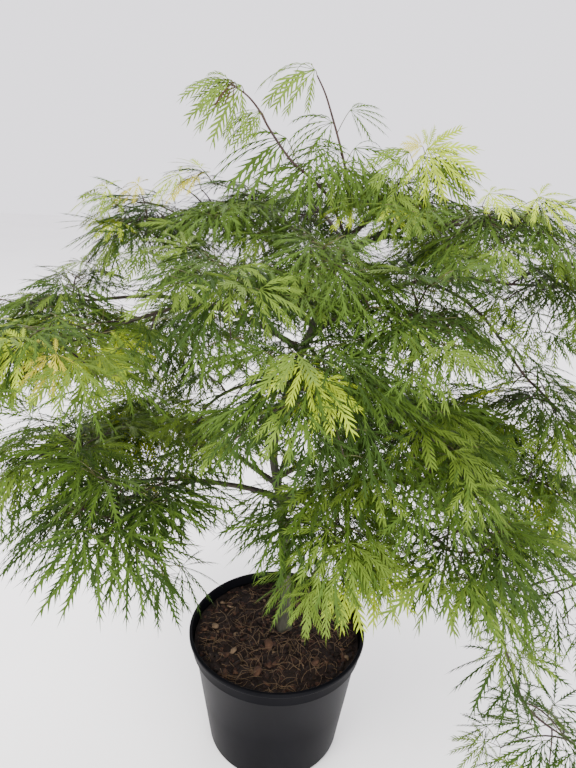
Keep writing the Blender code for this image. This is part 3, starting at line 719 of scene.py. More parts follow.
TRUNK_STEPS = 430
TRUNK_SIDES = 40
TRUNK_SINK = 0.004
BOUGH_STEP = 0.0035
BOUGH_SIDES = 12
BOUGH_GRAIN = 0.0002
COLLAR_SWELL = 0.55
COLLAR_LENGTH = 0.008
NODE_SWELL = 0.16
NODE_SPACING = 0.034
NODE_LENGTH = 0.0022
# Relief of the trunk's bark, and over what height it spreads at the foot and the graft
FURROW = 0.00042
TRUNK_GRAIN = 0.00022
FOOT_LOBES = 0.0022
FOOT_SPREAD = 0.014
GRAFT_LUMPS = 0.0026
GRAFT_SPREAD = 0.015
GREY_BARK = ((0.28, (0.01, 0.01, 0.007)), (0.5, (0.028, 0.027, 0.018)), (0.66, (0.05, 0.045, 0.031)),
             (0.82, (0.11, 0.1, 0.078)))
BROWN_BARK = ((0.28, (0.008, 0.006, 0.004)), (0.52, (0.02, 0.015, 0.009)), (0.72, (0.04, 0.032, 0.018)))
# The trunk or a bough: its course and its radius at both ends
Limb = namedtuple("Limb", "points base tip")


def trunk_relief(row, height, turn):
    """Furrows and grain all over, lobes at the foot and lumps at the graft."""
    x = math.cos(turn)
    y = math.sin(turn)
    furrow = noise.noise(Vector((x * 2.6, y * 2.6, height * 34.0)))
    grain = noise.noise(Vector((x * 7.0, y * 7.0, height * 160.0)))
    wart = noise.noise(Vector((x * 3.6, y * 3.6, height * 170.0 + 9.0)))
    near_foot = math.exp(-(height - SOIL_TOP) / FOOT_SPREAD)
    near_graft = math.exp(-((height - GRAFT_HEIGHT) / GRAFT_SPREAD) ** 2)
    lobes = FOOT_LOBES * near_foot * math.cos(4.0 * turn + 0.8)
    lump = GRAFT_LUMPS * near_graft * max(0.0, wart) ** 0.8
    return FURROW * furrow + TRUNK_GRAIN * grain + lobes + lump


def bough_relief(place):
    """A rule for a light grain, with each bough at its own place in the noise."""
    def relief(row, height, turn):
        spot = Vector((math.cos(turn) * 1.6 + place, math.sin(turn) * 1.6, row * 0.55))
        return BOUGH_GRAIN * noise.noise(spot)
    return relief


def bough_radii(points, base, tip):
    """A taper with a collar where the bough leaves its parent, and slight swellings at old nodes."""
    steps = step_lengths(points)
    length = sum(steps)
    radii = []
    run = 0.0
    for step in [0.0] + steps:
        run += step
        collar = COLLAR_SWELL * math.exp(-run / COLLAR_LENGTH)
        node = NODE_SWELL * math.exp(-((run % NODE_SPACING - 0.5 * NODE_SPACING) / NODE_LENGTH) ** 2)
        radii.append((base + (tip - base) * run / length) * (1.0 + collar + node))
    return radii


def build_trunk():
    points = smooth_line(TRUNK_COURSE, TRUNK_STEPS)
    for point in points:
        if point.z < SOIL_TOP + FLARE_HEIGHT:
            point.xy = TRUNK_COURSE[0].xy
    points.insert(0, points[0] - UP * TRUNK_SINK)
    radii = [trunk_radius(max(point.z, SOIL_TOP)) for point in points]
    batch = Batch()
    batch.add(*tube(points, radii, TRUNK_SIDES, trunk_relief))
    material = bark_material("grey_green_bark", GREY_BARK, 95.0, 420.0, 0.0012, 0.82, 0.35)
    finish_piece(batch.object("trunk_bark"), material, ["trunk"])
    return Limb(points, TRUNK_FOOT_RADIUS, TRUNK_TIP_RADIUS)


def leave_parent(spray, space, parent):
    """The arch from the parent to the middle of a mass, and the widest that its foot may be."""
    if spray.parent == "trunk":
        start = point_at_height(parent.points, spray.start)
        parent_radius = trunk_radius(spray.start)
    else:
        start = point_at_share(parent.points, spray.start)
        parent_radius = parent.base + (parent.tip - parent.base) * spray.start
    rng = random.Random(f"{SEED}-{spray.name}-bough")
    return wandering_arch(start, space.centre, spray.arch, rng), LIMB_TO_PARENT * parent_radius


def bough_line(course, space):
    """Even points along the arch, up to where it enters the mass."""
    entry = next(index for index, point in enumerate(course) if space.offset(point).length < ENTRY)
    course = course[:entry + 1]
    knots = [course[0]] + course[2::2]
    if knots[-1] != course[-1]:
        knots.append(course[-1])
    return smooth_line(knots, max(12, round(sum(step_lengths(course)) / BOUGH_STEP)))


def build_limbs(spaces):
    """The trunk, the boughs and the course on which each mass's stem starts."""
    limbs = {"trunk": build_trunk()}
    starts = {}
    batch = Batch()
    for number, spray in enumerate(SPRAYS):
        if spray.start is None:
            starts[spray.name] = limbs["trunk"].points[-1:]
            continue
        course, widest = leave_parent(spray, spaces[spray.name], limbs[spray.parent])
        if not spray.radius:
            starts[spray.name] = [point_at_share(course, share) for share in SIDE_STEM_SHARES]
            continue
        limb = Limb(bough_line(course, spaces[spray.name]), min(widest, spray.radius), BOUGH_TIP_RADIUS)
        radii = bough_radii(limb.points, limb.base, limb.tip)
        batch.add(*tube(limb.points, radii, BOUGH_SIDES, bough_relief(number * 3.1)))
        limbs[spray.name] = limb
        starts[spray.name] = limb.points[-1:]
    material = bark_material("brown_green_bark", BROWN_BARK, 90.0, 380.0, 0.0006, 0.7)
    nodes = [f"bough_{spray.name}" for spray in SPRAYS if spray.radius]
    finish_piece(batch.object("boughs_bark"), material, nodes)
    return limbs, starts


# Leaves

LOBE_ANGLES = (0.0, 25.0, -25.0, 52.0, -52.0, 84.0, -84.0, 122.0, -122.0)
LOBE_LENGTHS = (1.0, 0.97, 0.97, 0.86, 0.86, 0.66, 0.66, 0.42, 0.42)
LOBE_KINDS = 4
# Half-widths of the blade along a lobe of unit length
STATIONS = {
    "grown": ((0.0, 0.0055), (0.2, 0.0095), (0.42, 0.017), (0.64, 0.015), (0.84, 0.007)),
    "young": ((0.0, 0.006), (0.2, 0.012), (0.42, 0.0155), (0.64, 0.0135), (0.84, 0.007)),
}
YOUNG_TINTS = ("fresh", "lime", "gold")
FULLNESS = {"deep": 0.95, "mid": 0.93, "fresh": 0.92, "lime": 1.1, "gold": 1.1, "dried": 0.9}
CUT_COUNT = 7
FIRST_CUT = 0.17
CUT_SPACING = 0.098
CUT_STAGGER = 0.04
BLADE_FOLD = 0.003
LOBE_SWAY = 5.0
LOBE_ROLL = 0.6
STEEPEST = math.radians(80.0)
# How far a blade keeps to its leaf's plane, and how full it is, on a full leaf and a folded one
FULL_LEAF = (0.45, 1.0)
FOLDED_LEAF = (0.72, 1.05)
# Shares of a lobe's length at which its midrib bends: the last lets a tooth reach past the tip
MIDRIB_SHARES = np.linspace(0.0, 1.12, 13)
MIDRIB_STEP = MIDRIB_SHARES[1] - MIDRIB_SHARES[0]
# Leaves are longest low down on the old wood
LONG_LEAF = 0.074
SHORT_LEAF = 0.049
LONG_LEAF_HEIGHT = 0.42
SHORT_LEAF_HEIGHT = 0.66

# Where a leaf sits and how it hangs. A free leaf isn't held to the reach of its mass
Leaf = namedtuple("Leaf", "base joint heading upper length droop tint mass lobes fan free")
# One array for each thing that a lobe has
Lobes = namedtuple("Lobes", "leaf direction length last_pitch variant roll fullness flatness")


def leaf_length(height):
    rise = (height - LONG_LEAF_HEIGHT) / (SHORT_LEAF_HEIGHT - LONG_LEAF_HEIGHT)
    return LONG_LEAF + (SHORT_LEAF - LONG_LEAF) * max(0.0, min(1.0, rise))


def blade_width(stations, share):
    """Half-width of a lobe's blade at a share of its length."""
    for (low, narrow), (high, wide) in zip(stations, stations[1:]):
        if share <= high:
            return narrow + (wide - narrow) * (share - low) / (high - low)
    return stations[-1][1]


def grown_tooth(place, root, rng):
    """One short forward tooth of a full-grown lobe, as points and faces."""
    swell = math.sin(math.pi * place ** 0.9) ** 0.7
    length = (0.036 + 0.106 * swell) * rng.uniform(0.75, 1.25)
    spread = math.radians(rng.uniform(18.0, 31.0))
    tip = (place + length * math.cos(spread), root + length * math.sin(spread), -0.012 * swell)
    points = [(place - 0.034, root * 0.75, 0.0), (place + 0.026, root * 0.75, 0.0), tip]
    return points, [(0, 1, 2)]


def young_lobelet(place, root, rng):
    """One longer, curved forward lobelet of a young lobe, as points and faces."""
    swell = math.sin(math.pi * place ** 0.85) ** 0.8
    length = (0.045 + 0.14 * swell) * rng.uniform(0.75, 1.2)
    spread = math.radians(rng.uniform(22.0, 36.0))
    along, across = math.cos(spread), math.sin(spread)
    middle = (place + 0.55 * length * along - 0.01 * across, root + 0.55 * length * across + 0.01 * along)
    tip = (place + length * along + 0.012, root + length * across * 0.88)
    points = [(place - 0.032, root * 0.7, 0.0), (place + 0.026, root * 0.7, 0.0)]
    points += [(*middle, -0.006), (*tip, -0.018 * swell)]
    return points, [(0, 1, 2), (2, 1, 3)]


def lobe_template(kind, variant):
    """A flat lobe of unit length along +X: its points as (along, across, height), and faces."""
    rng = random.Random(f"{kind}-{variant}")
    stations = STATIONS[kind]
    points = []
    faces = []
    for share, width in stations:
        points += [(share, width, BLADE_FOLD), (share, 0.0, -BLADE_FOLD), (share, -width, BLADE_FOLD)]
    points.append((1.0, 0.0, 0.0))
    last = 3 * (len(stations) - 1)
    for low in range(0, last, 3):
        high = low + 3
        faces += [(low, low + 1, high + 1), (low, high + 1, high)]
        faces += [(low + 1, low + 2, high + 2), (low + 1, high + 2, high + 1)]
    faces += [(last, last + 1, last + 3), (last + 1, last + 2, last + 3)]
    cut_edge = grown_tooth if kind == "grown" else young_lobelet
    for index in range(CUT_COUNT):
        for side in (1.0, -1.0):
            place = FIRST_CUT + CUT_SPACING * index + CUT_STAGGER * (side > 0) + rng.uniform(-0.016, 0.016)
            more_points, more_faces = cut_edge(place, blade_width(stations, place), rng)
            first = len(points)
            points += [(x, y * side, z) for x, y, z in more_points]
            if side < 0:
                more_faces = [(a, c, b) for a, b, c in more_faces]
            faces += [tuple(first + corner for corner in face) for face in more_faces]
    return np.array(points), np.array(faces)


def spread_lobes(leaves, rng):
    """The lobes of all leaves, as one array for each thing that a lobe has."""
    rows = []
    for number, leaf in enumerate(leaves):
        side = leaf.upper.cross(leaf.heading).normalized()
        forward = side.cross(leaf.upper).normalized()
        flatness, filling = FULL_LEAF if leaf.fan == 1.0 else FOLDED_LEAF
        for angle, share in zip(LOBE_ANGLES[:leaf.lobes], LOBE_LENGTHS):
            turn = math.radians(angle * leaf.fan + rng.uniform(-LOBE_SWAY, LOBE_SWAY))
            direction = forward * math.cos(turn) + side * math.sin(turn)
            length = leaf.length * share * rng.uniform(0.9, 1.08)
            first_pitch = math.asin(max(-1.0, min(1.0, -direction.z)))
            fall = max(0.0, STEEPEST - first_pitch) * leaf.droop * rng.uniform(0.8, 1.2)
            fullness = FULLNESS[leaf.tint] * rng.uniform(0.85, 1.15) * filling
            rows.append((number, tuple(direction), length, first_pitch + fall, rng.randrange(LOBE_KINDS),
                         rng.uniform(-LOBE_ROLL, LOBE_ROLL), fullness, flatness))
    return Lobes(*(np.array(column) for column in zip(*rows)))


def of_owners(owners, name, numbers):
    """One vector for each number: that property of the owner it points to."""
    return np.array([tuple(getattr(owner, name)) for owner in owners])[numbers]


def square_to(vectors, tangents):
    """Unit vectors: what of each vector is square to its tangent."""
    vectors = vectors - (vectors * tangents).sum(2)[:, :, None] * tangents
    return vectors / np.linalg.norm(vectors, axis=2)[:, :, None]


def bend_midribs(leaves, lobes):
    """Midrib points and the blade's normals and sides, at even shares of each lobe."""
    joints = of_owners(leaves, "joint", lobes.leaf)[:, None]
    uppers = of_owners(leaves, "upper", lobes.leaf)
    level = lobes.direction[:, :2]
    steep = np.linalg.norm(level, axis=1) < 0.12
    level = np.where(steep[:, None], uppers[:, :2] + 1e-4, level)
    heading = np.zeros_like(lobes.direction)
    heading[:, :2] = level / np.linalg.norm(level, axis=1)[:, None]
    heading = heading[:, None]
    first_pitch = np.arcsin(np.clip(-lobes.direction[:, 2], -0.98, 0.98))
    fall = np.maximum(lobes.last_pitch, first_pitch) - first_pitch
    pitch = first_pitch[:, None] + fall[:, None] * np.clip(MIDRIB_SHARES, 0.0, 1.0) ** 0.9
    cosine = np.cos(pitch)[:, :, None]
    sine = np.sin(pitch)[:, :, None]
    tangent = cosine * heading - sine * UP_ROW
    over = sine * heading + cosine * UP_ROW
    steps = 0.5 * (tangent[:, 1:] + tangent[:, :-1]) * MIDRIB_STEP
    middle = np.concatenate([np.zeros((len(steps), 1, 3)), np.cumsum(steps, axis=1)], axis=1)
    middle = joints + middle * lobes.length[:, None, None]
    flatness = lobes.flatness[:, None, None]
    facing = square_to(flatness * uppers[:, None] + (1.0 - flatness) * over, tangent)
    side = np.cross(facing, tangent)
    roll = lobes.roll[:, None, None]
    normal = facing * np.cos(roll) + side * np.sin(roll)
    side = side * np.cos(roll) - facing * np.sin(roll)
    return middle, normal, side


def blade_points(template, middle, normal, side, length, fullness):
    """The template's points carried along each bent midrib."""
    along = np.clip(template[:, 0], 0.0, MIDRIB_SHARES[-1])
    low = np.minimum((along / MIDRIB_STEP).astype(int), len(MIDRIB_SHARES) - 2)
    part = (along - MIDRIB_SHARES[low]) / MIDRIB_STEP
    weights = np.zeros((len(template), len(MIDRIB_SHARES)))
    weights[np.arange(len(template)), low] = 1.0 - part
    weights[np.arange(len(template)), low + 1] = part
    centre, above, across = (np.einsum("vk,nkc->nvc", weights, rows) for rows in (middle, normal, side))
    width = template[None, :, 1:2] * fullness[:, None, None]
    return centre + length[:, None, None] * (width * across + template[None, :, 2:3] * above)


# Growth: the stem and twigs of each mass, and the leaves on them

# The long shoots at the top: the points that they pass through after their start
SHOOT_COURSES = {
    "top": (
        (0.057, 0.014, 0.716), (0.053, 0.012, 0.737), (0.045, 0.01, 0.764), (0.035, 0.01, 0.792),
        (0.026, 0.01, 0.815), (0.017, 0.009, 0.831),
    ),
    "top_left": (
        (0.036, 0.006, 0.716), (0.014, 0.0, 0.737), (-0.006, -0.006, 0.753), (-0.027, -0.012, 0.78),
        (-0.037, -0.014, 0.796), (-0.049, -0.016, 0.809), (-0.064, -0.018, 0.818),
    ),
    "top_right": (
        (0.078, 0.01, 0.7), (0.098, 0.002, 0.725), (0.115, -0.005, 0.748), (0.127, -0.01, 0.765),
    ),
}

# The leaves on each long shoot: share of the shoot, heading in degrees, hang, length, droop,
# colour, stalk, turn to the front and fan
SHOOT_LEAVES = {
    "top": (
        (1.0, 184, 0.05, 0.072, 0.8, "fresh", 0.006, 1.5, 0.9),
        (0.58, 4, 0.05, 0.05, 0.5, "mid", 0.026, 1.3, 0.8),
        (0.6, 184, 0.1, 0.066, 0.75, "mid", 0.012, 1.6, 0.85),
        (0.41, 188, 0.3, 0.076, 0.75, "mid", 0.018, 1.7, 0.9),
        (0.41, 352, 0.3, 0.078, 0.75, "mid", 0.02, 1.7, 0.9),
        (0.17, 170, 0.6, 0.074, 0.5, "mid", 0.024, 1.8, 0.7),
        (0.17, 15, 0.6, 0.078, 0.5, "fresh", 0.026, 1.8, 0.7),
        (0.28, 262, 1.1, 0.06, 0.6, "mid", 0.018, 0.8, 0.7),
        (0.28, 350, 0.9, 0.07, 0.5, "mid", 0.014, 1.8, 0.7),
        (0.3, 195, 0.95, 0.066, 0.5, "deep", 0.016, 2.0, 0.7),
    ),
    "top_left": (
        (1.0, 182, 0.1, 0.054, 0.6, "fresh", 0.004, 1.6, 0.7),
        (0.88, 190, 0.7, 0.074, 0.6, "fresh", 0.008, 2.2, 0.7),
        (0.6, 190, 0.55, 0.056, 0.6, "fresh", 0.016, 2.0, 0.6),
        (0.36, 184, 0.45, 0.098, 0.6, "mid", 0.034, 2.2, 0.66),
        (0.36, 350, 0.6, 0.066, 0.55, "mid", 0.03, 1.8, 0.66),
        (0.2, 192, 0.7, 0.082, 0.5, "mid", 0.024, 2.2, 0.7),
        (0.2, 352, 0.55, 0.072, 0.5, "fresh", 0.026, 1.8, 0.7),
        (0.11, 186, 0.6, 0.076, 0.55, "mid", 0.026, 1.8, 0.7),
        (0.28, 270, 1.0, 0.066, 0.5, "mid", 0.016, 1.2, 0.8),
        (0.98, 170, -0.3, 0.022, 0.6, "dried", 0.006, 0.4, 0.62),
        (0.95, 205, 0.6, 0.034, 0.6, "dried", 0.006, 0.8, 0.62),
    ),
    "top_right": (
        (1.0, 350, 0.8, 0.07, 0.2, "lime", 0.004, 3.0, 0.95),
        (0.99, 20, -0.35, 0.036, 0.1, "lime", 0.004, 2.8, 0.9),
        (0.97, 150, -0.3, 0.028, 0.2, "gold", 0.008, 2.4, 0.9),
        (0.78, 350, 0.8, 0.082, 0.35, "fresh", 0.012, 2.2, 0.7),
        (0.78, 190, 0.5, 0.06, 0.5, "fresh", 0.016, 1.6, 0.66),
        (0.5, 330, 0.95, 0.076, 0.45, "fresh", 0.018, 1.8, 0.7),
        (0.5, 200, 0.7, 0.07, 0.55, "mid", 0.02, 1.6, 0.66),
    ),
}

# How widely some masses spread within their space, and how far some are moved
SPREADS = {"left_high": 0.8, "crown_left": 0.95, "right_outer": 0.8, "low_front": 0.8, "right_hanging": 0.85}
MOVES = {
    "low_left_outer": (0.014, 0.0, 0.042), "low_left_front": (0.022, 0.0, 0.046),
    "low_front": (-0.02, 0.0, 0.066), "low_right_outer": (0.0, 0.0, 0.012),
    "low_right_front": (0.01, 0.0, 0.046), "low_right_drop": (0.034, 0.0, 0.056),
    "right_hanging": (0.03, 0.0, -0.04), "left_drop": (0.044, -0.01, 0.002),
    "left_outer": (0.018, 0.0, -0.002), "left_front": (0.01, 0.0, 0.012),
    "mid_left_back": (-0.014, 0.0, -0.046), "mid_back": (-0.044, 0.0, 0.01),
    "right_back": (-0.02, 0.0, 0.004), "right_drop": (0.006, 0.0, -0.036),
    "upper_left_front": (0.024, 0.0, 0.008), "upper_right_front": (-0.032, 0.0, 0.02),
    "mid_front_right": (0.0, 0.0, 0.006), "left_high": (0.014, 0.0, -0.01),
    "crown_left": (-0.004, 0.0, -0.014), "crown_right": (0.0, 0.0, -0.012),
    "crown_back": (0.0, 0.0, -0.01), "upper_front": (0.0, 0.0, -0.01),
    "right_high": (0.0, 0.0, -0.006),
}

# Single leaves that stand out: mass, place in it in radii, colour, size and hang
FEATURE_LEAVES = (
    ("front_centre", (0.3, -0.18, 0.46), "lime", 0.95, 0.4),
    ("front_centre", (0.35, -0.02, 0.28), "lime", 0.95, 0.7),
    ("front_centre", (0.45, -0.3, 0.05), "fresh", 0.95, 0.8),
    ("low_front", (0.25, 0.5, -0.8), "lime", 0.95, 0.6),
    ("low_front", (0.3, 0.15, -0.7), "lime", 0.9, 0.8),
    ("left_front", (0.1, 0.5, 0.1), "lime", 1.05, 0.55),
    ("left_front", (0.34, 0.4, 0.24), "lime", 1.05, 0.5),
    ("left_front", (0.15, 0.6, 0.2), "gold", 0.85, 0.6),
    ("right_high", (-0.25, -0.45, 0.7), "lime", 0.9, 0.1),
    ("right_high", (0.15, -0.35, 0.65), "lime", 1.0, 0.3),
    ("crown_right", (0.3, -0.35, 0.7), "fresh", 1.0, 0.05),
    ("left_high", (0.05, 0.1, 0.8), "gold", 1.0, 0.35),
    ("left_high", (0.35, 0.2, 0.7), "lime", 1.15, 0.4),
    ("low_right_outer", (0.2, -0.2, 0.25), "dried", 0.55, 0.6),
    ("crown_left", (0.15, 0.3, 0.62), "gold", 1.05, 0.4),
    ("crown_left", (0.5, 0.1, 0.6), "lime", 1.1, 0.4),
    ("left_high", (0.45, 0.05, 0.3), "lime", 0.95, 0.25),
    ("left_outer", (0.7, 0.1, 0.3), "gold", 0.95, 0.2),
)

# The nodes of a twig that bear a pair of leaves, their size, and how much younger they are
TWIG_NODES = ((2, 0.84, -0.2), (4, 0.9, -0.1), (6, 0.95, 0.0), (8, 1.0, 0.14))
# A mass of this many twigs or fewer has leaves at every other node only
SPARSE_MASS = 5
TWIG_STEPS = 8
SHOOT_STEPS = 34
LAST_TWIG = 0.92
SIDE_STEM_RADIUS = 0.0021
STEM_TIP = 0.0009
SHOOT_RADIUS = 0.0018
SHOOT_TIP = 0.0008
TWIG_RADIUS = 0.00115
SMALL_TWIG_RADIUS = 0.001
TWIG_TIP = 0.0007
STALK_LENGTHS = (0.012, 0.028)
FEATURE_STALK = 0.016
STALK_RADIUS = 0.00055
STALK_TIP = 0.00045
# How leaves differ: sway of the blade, size, droop, and the share that has nine lobes
LEAF_SWAY = 0.48
SHOOT_SWAY = 0.2
LEAF_SIZES = (0.84, 1.2)
LEAF_DROOPS = (0.14, 0.46)
NINE_LOBED = 0.3
# The dome on which a mass's twigs end, in radii of the mass
DOME_TOP = 0.56
DOME_FALL = 0.9
DOME_REACH = 0.74
DOME_UNEVEN = (-0.36, 0.22)
# Where on a bough its short leafy twigs stand, as shares of its length
SPUR_SHARES = (0.36, 0.56, 0.76)
# The box that a leaf's midribs stay in
LEAF_BOX_LOW = np.array((-0.388, -0.292, 0.012))
LEAF_BOX_HIGH = np.array((0.401, 0.329, 0.865))
# Leaves are shortened towards these reaches, in radii of the mass, by no more than these factors
REACH_LIMITS = ((1.24, 0.75), (1.28, 0.85))
FARTHEST = 1.6
POT_CLEARANCE = 0.006
RIM_CLEARANCE = 0.004
LIMB_CLEARANCE = 0.004
PIECE_TRIANGLES = 190000
STALK_BARK = ((0.3, (0.03, 0.034, 0.009)), (0.7, (0.085, 0.078, 0.02)))
TWIG_BARK = ((0.28, (0.01, 0.005, 0.004)), (0.55, (0.026, 0.012, 0.008)), (0.78, (0.046, 0.03, 0.014)))


class Growth:
    """Everything that grows on the limbs: twigs, leaf stalks and leaves."""

    def __init__(self, limbs):
        self.limbs = limbs
        self.twigs = Batch()
        self.leaves = []

    def begin(self, space, part, free=False):
        """Start a part of a mass, with random draws of its own."""
        self.space = space
        self.spray = space.spray
        self.rng = random.Random(f"{SEED}-{self.spray.name}-{part}")
        self.free = free

    def tint(self, younger):
        """A leaf colour by the palette's odds, drawn from its older or younger end."""
        draw = min(0.999, max(0.0, self.rng.random() * (1.0 - abs(younger)) + younger))
        total = 0.0
        for name, weight in zip(LEAF_COLOURS, PALETTES[self.spray.palette]):
            total += weight
            if draw < total:
                return name
        return "lime"

    def shoot(self, points, foot_radius, tip_radius, sides):
        """Adds the shoot's tube, and returns its points for what grows on it."""
        self.twigs.add(*tube(points, taper(foot_radius, tip_radius, len(points)), sides))
        return points

    def twig(self, base, tip, lift, radius=SMALL_TWIG_RADIUS, steps=TWIG_STEPS):
        """A twig that bows upwards between its ends."""
        return self.shoot(bezier([base, base.lerp(tip, 0.5) + UP * lift, tip], steps), radius, TWIG_TIP, 5)

    def hang_leaf(self, base, joint, heading, facing, length, droop, tint, lobes, fan=1.0):
        """A leaf whose blade looks along the facing direction as far as its heading lets it."""
        sway = LEAF_SWAY if fan == 1.0 else SHOOT_SWAY
        tilt = Vector([self.rng.uniform(-sway, sway) for _ in range(3)])
        upper = (facing + tilt).normalized()
        upper = (upper - heading * upper.dot(heading)).normalized()
        self.leaves.append(Leaf(base, joint, heading, upper, length, droop, tint, self.spray.name,
                                lobes, fan, self.free))

    def front_leaf(self, base, stalk, outward, hang, front, length, droop, tint, lobes, fan=1.0):
        """A leaf that is turned to the front, on the stalk given."""
        heading = (outward - UP * hang).normalized()
        facing = UP + outward * 0.3 + FRONT * front
        self.hang_leaf(base, base + stalk, heading, facing, length, droop, tint, lobes, fan)

    def leaf(self, base, direction, outward, tint, size, hang):
        """A leaf on a stalk that leaves a twig's node and bends over under the blade's weight."""
        rng = self.rng
        stalk = rng.uniform(*STALK_LENGTHS) * size
        lifted = (direction + UP * rng.uniform(0.2, 0.9)).normalized()
        joint = base + lifted * (0.7 * stalk) + (direction - UP * 0.1).normalized() * (0.3 * stalk)
        heading = direction * 0.7 + outward * 0.5
        heading.z *= 0.4
        heading = (heading.normalized() - UP * hang).normalized()
        length = leaf_length(joint.z) * size * rng.uniform(*LEAF_SIZES)
        lobes = 9 if rng.random() < NINE_LOBED else 7
        droop = rng.uniform(*LEAF_DROOPS)
        self.hang_leaf(base, joint, heading, UP + outward * 0.35, length, droop, tint, lobes)

    def pair(self, points, index, outward, tint, turn, size, hang):
        """Two opposite leaves at a node of a twig."""
        before = points[max(index - 1, 0)]
        after = points[min(index + 1, len(points) - 1)]
        along = (after - before).normalized()
        across = along.cross(UP)
        if across.length < 0.2:
            across = along.cross(outward)
        across.normalize()
        side = across * math.cos(turn) + across.cross(along) * math.sin(turn)
        for sign in (-1.0, 1.0):
            direction = (side * sign * 0.85 + along * 0.55).normalized()
            self.leaf(points[index], direction, outward, tint, size, hang)

    def long_shoot(self, space, start):
        """One of the bare-stemmed shoots at the top, with the leaves that show on it."""
        self.begin(space, "shoot", free=True)
        knots = start[:1] + [Vector(knot) for knot in SHOOT_COURSES[self.spray.name]]
        stem = self.shoot(smooth_line(knots, SHOOT_STEPS), SHOOT_RADIUS, SHOOT_TIP, 7)
        for share, azimuth, hang, length, droop, tint, stalk, front, fan in SHOOT_LEAVES[self.spray.name]:
            outward = on_circle(1.0, math.radians(azimuth))
            base = stem[round(share * SHOOT_STEPS)]
            stalk = (outward * 0.45 + UP * 0.85) * stalk
            self.front_leaf(base, stalk, outward, hang, front, length, droop, tint, 7, fan)

    def feature(self, space, place, tint, size, hang):
        """A single leaf that stands out, on a twig of its own."""
        self.begin(space, place, free=True)
        along, across, up = place
        tip = space.point(along, across, up)
        root = space.point(along * 0.2, across * 0.2, up * 0.2 - 0.1)
        self.twig(root, tip, 0.01)
        stalk = (space.heading * 0.3 + UP * 0.8) * (FEATURE_STALK * size)
        self.front_leaf(tip, stalk, space.heading, hang, 0.9, leaf_length(tip.z) * size, 0.4, tint, 9)

    def stem(self, start):
        """The stem of a mass and the share of it that is bare. It carries on from a bough's
        tip, or runs from the trunk through the points given."""
        far = self.space.point(0.34, self.rng.uniform(-0.12, 0.12), 0.1)
        if len(start) > 1:
            return self.shoot(smooth_line(start + [far], 26), SIDE_STEM_RADIUS, STEM_TIP, 6), 0.45
        before, begin = self.limbs[self.spray.name].points[-2:]
        heading = (begin - before).normalized()
        reach = (far - begin).length
        knots = [begin - heading * 0.004, begin + heading * reach * 0.45, far + UP * reach * 0.18, far]
        return self.shoot(bezier(knots, 14), BOUGH_TIP_RADIUS * 1.02, STEM_TIP, 6), 0.1

    def spurs(self, space):
        """Short leafy twigs along a bough, on the way to its mass."""
        self.begin(space, "spurs", free=True)
        rng = self.rng
        course = self.limbs[self.spray.name].points
        for number, share in enumerate(SPUR_SHARES):
            share += rng.uniform(-0.06, 0.06)
            base = point_at_share(course, share)
            along = (point_at_share(course, share + 0.08) - base).normalized()
            side = along.cross(UP) * (-1.0) ** number
            outward = (along * 0.6 + side * rng.uniform(0.4, 1.0)).normalized()
            tip = base + outward * rng.uniform(0.018, 0.042) + UP * rng.uniform(-0.008, 0.018)
            twig = self.twig(base, tip, 0.006, steps=5)
            tint = self.tint(-0.2)
            hang = rng.uniform(0.2, 0.8)
            self.pair(twig, 3, outward, tint, 0.1, 0.85, hang)
            self.leaf(twig[-1], outward, outward, tint, 0.95, hang)

    def twig_spot(self, index):
        """Where a mass's twig ends, in radii: further out and lower from one twig to the next."""
        reach = math.sqrt((index + 0.6) / self.spray.twigs)
        turn = GOLDEN_ANGLE * index + self.rng.uniform(-0.3, 0.3)
        spread = SPREADS.get(self.spray.name, 1.0)
        height = DOME_TOP - DOME_FALL * reach ** 2 + self.rng.uniform(*DOME_UNEVEN)
        return reach, on_circle(reach * DOME_REACH * spread, turn, height)

    def leafy_twig(self, stem, bare, index):
        """One twig from the stem into the mass, with pairs of leaves and one at its tip."""
        rng = self.rng
        space = self.space
        count = self.spray.twigs
        reach, spot = self.twig_spot(index)
        tip = space.point(*spot)
        share = bare + (LAST_TWIG - bare) * (index + 0.5) / count
        base = stem[int(share * (len(stem) - 1))]
        twig = self.twig(base, tip, rng.uniform(0.01, 0.026), TWIG_RADIUS)
        away = tip - space.centre
        away.z *= 0.3
        outward = (away.normalized() + space.heading * 0.3).normalized()
        hang = 0.14 + 0.4 * reach - 0.32 * spot.z
        for node, size, younger in TWIG_NODES[1::2] if count <= SPARSE_MASS else TWIG_NODES:
            tint = self.tint(younger)
            turn = rng.uniform(-0.4, 0.4)
            self.pair(twig, node, outward, tint, turn, size, max(0.0, hang + rng.uniform(-0.25, 0.25)))
        tint = self.tint(0.25)
        self.leaf(twig[-1], outward, outward, tint, 0.95, hang - rng.uniform(0.1, 0.6))

    def mass(self, space, start):
        """The stem, twigs and leaves of one mass."""
        self.begin(space, "sprays")
        stem, bare = self.stem(start)
        outward = (stem[-1] - stem[-3]).normalized()
        tint = self.tint(0.35)
        self.leaf(stem[-1], outward, outward, tint, 1.05, 0.35)
        self.pair(stem, len(stem) - 2, outward, tint, 0.2, 1.0, 0.4)
        for index in range(self.spray.twigs):
            self.leafy_twig(stem, bare, index)


def grow(spaces, limbs, starts):
    """Grow each mass in its moved space, the short twigs on its bough and the single leaves."""
    for name, move in MOVES.items():
        spaces[name].centre += Vector(move)
    growth = Growth(limbs)
    for name, space in spaces.items():
        if name in SHOOT_COURSES:
            growth.long_shoot(space, starts[name])
        else:
            growth.mass(space, starts[name])
        if name in limbs:
            growth.spurs(space)
    for name, *feature in FEATURE_LEAVES:
        growth.feature(spaces[name], *feature)
    return growth


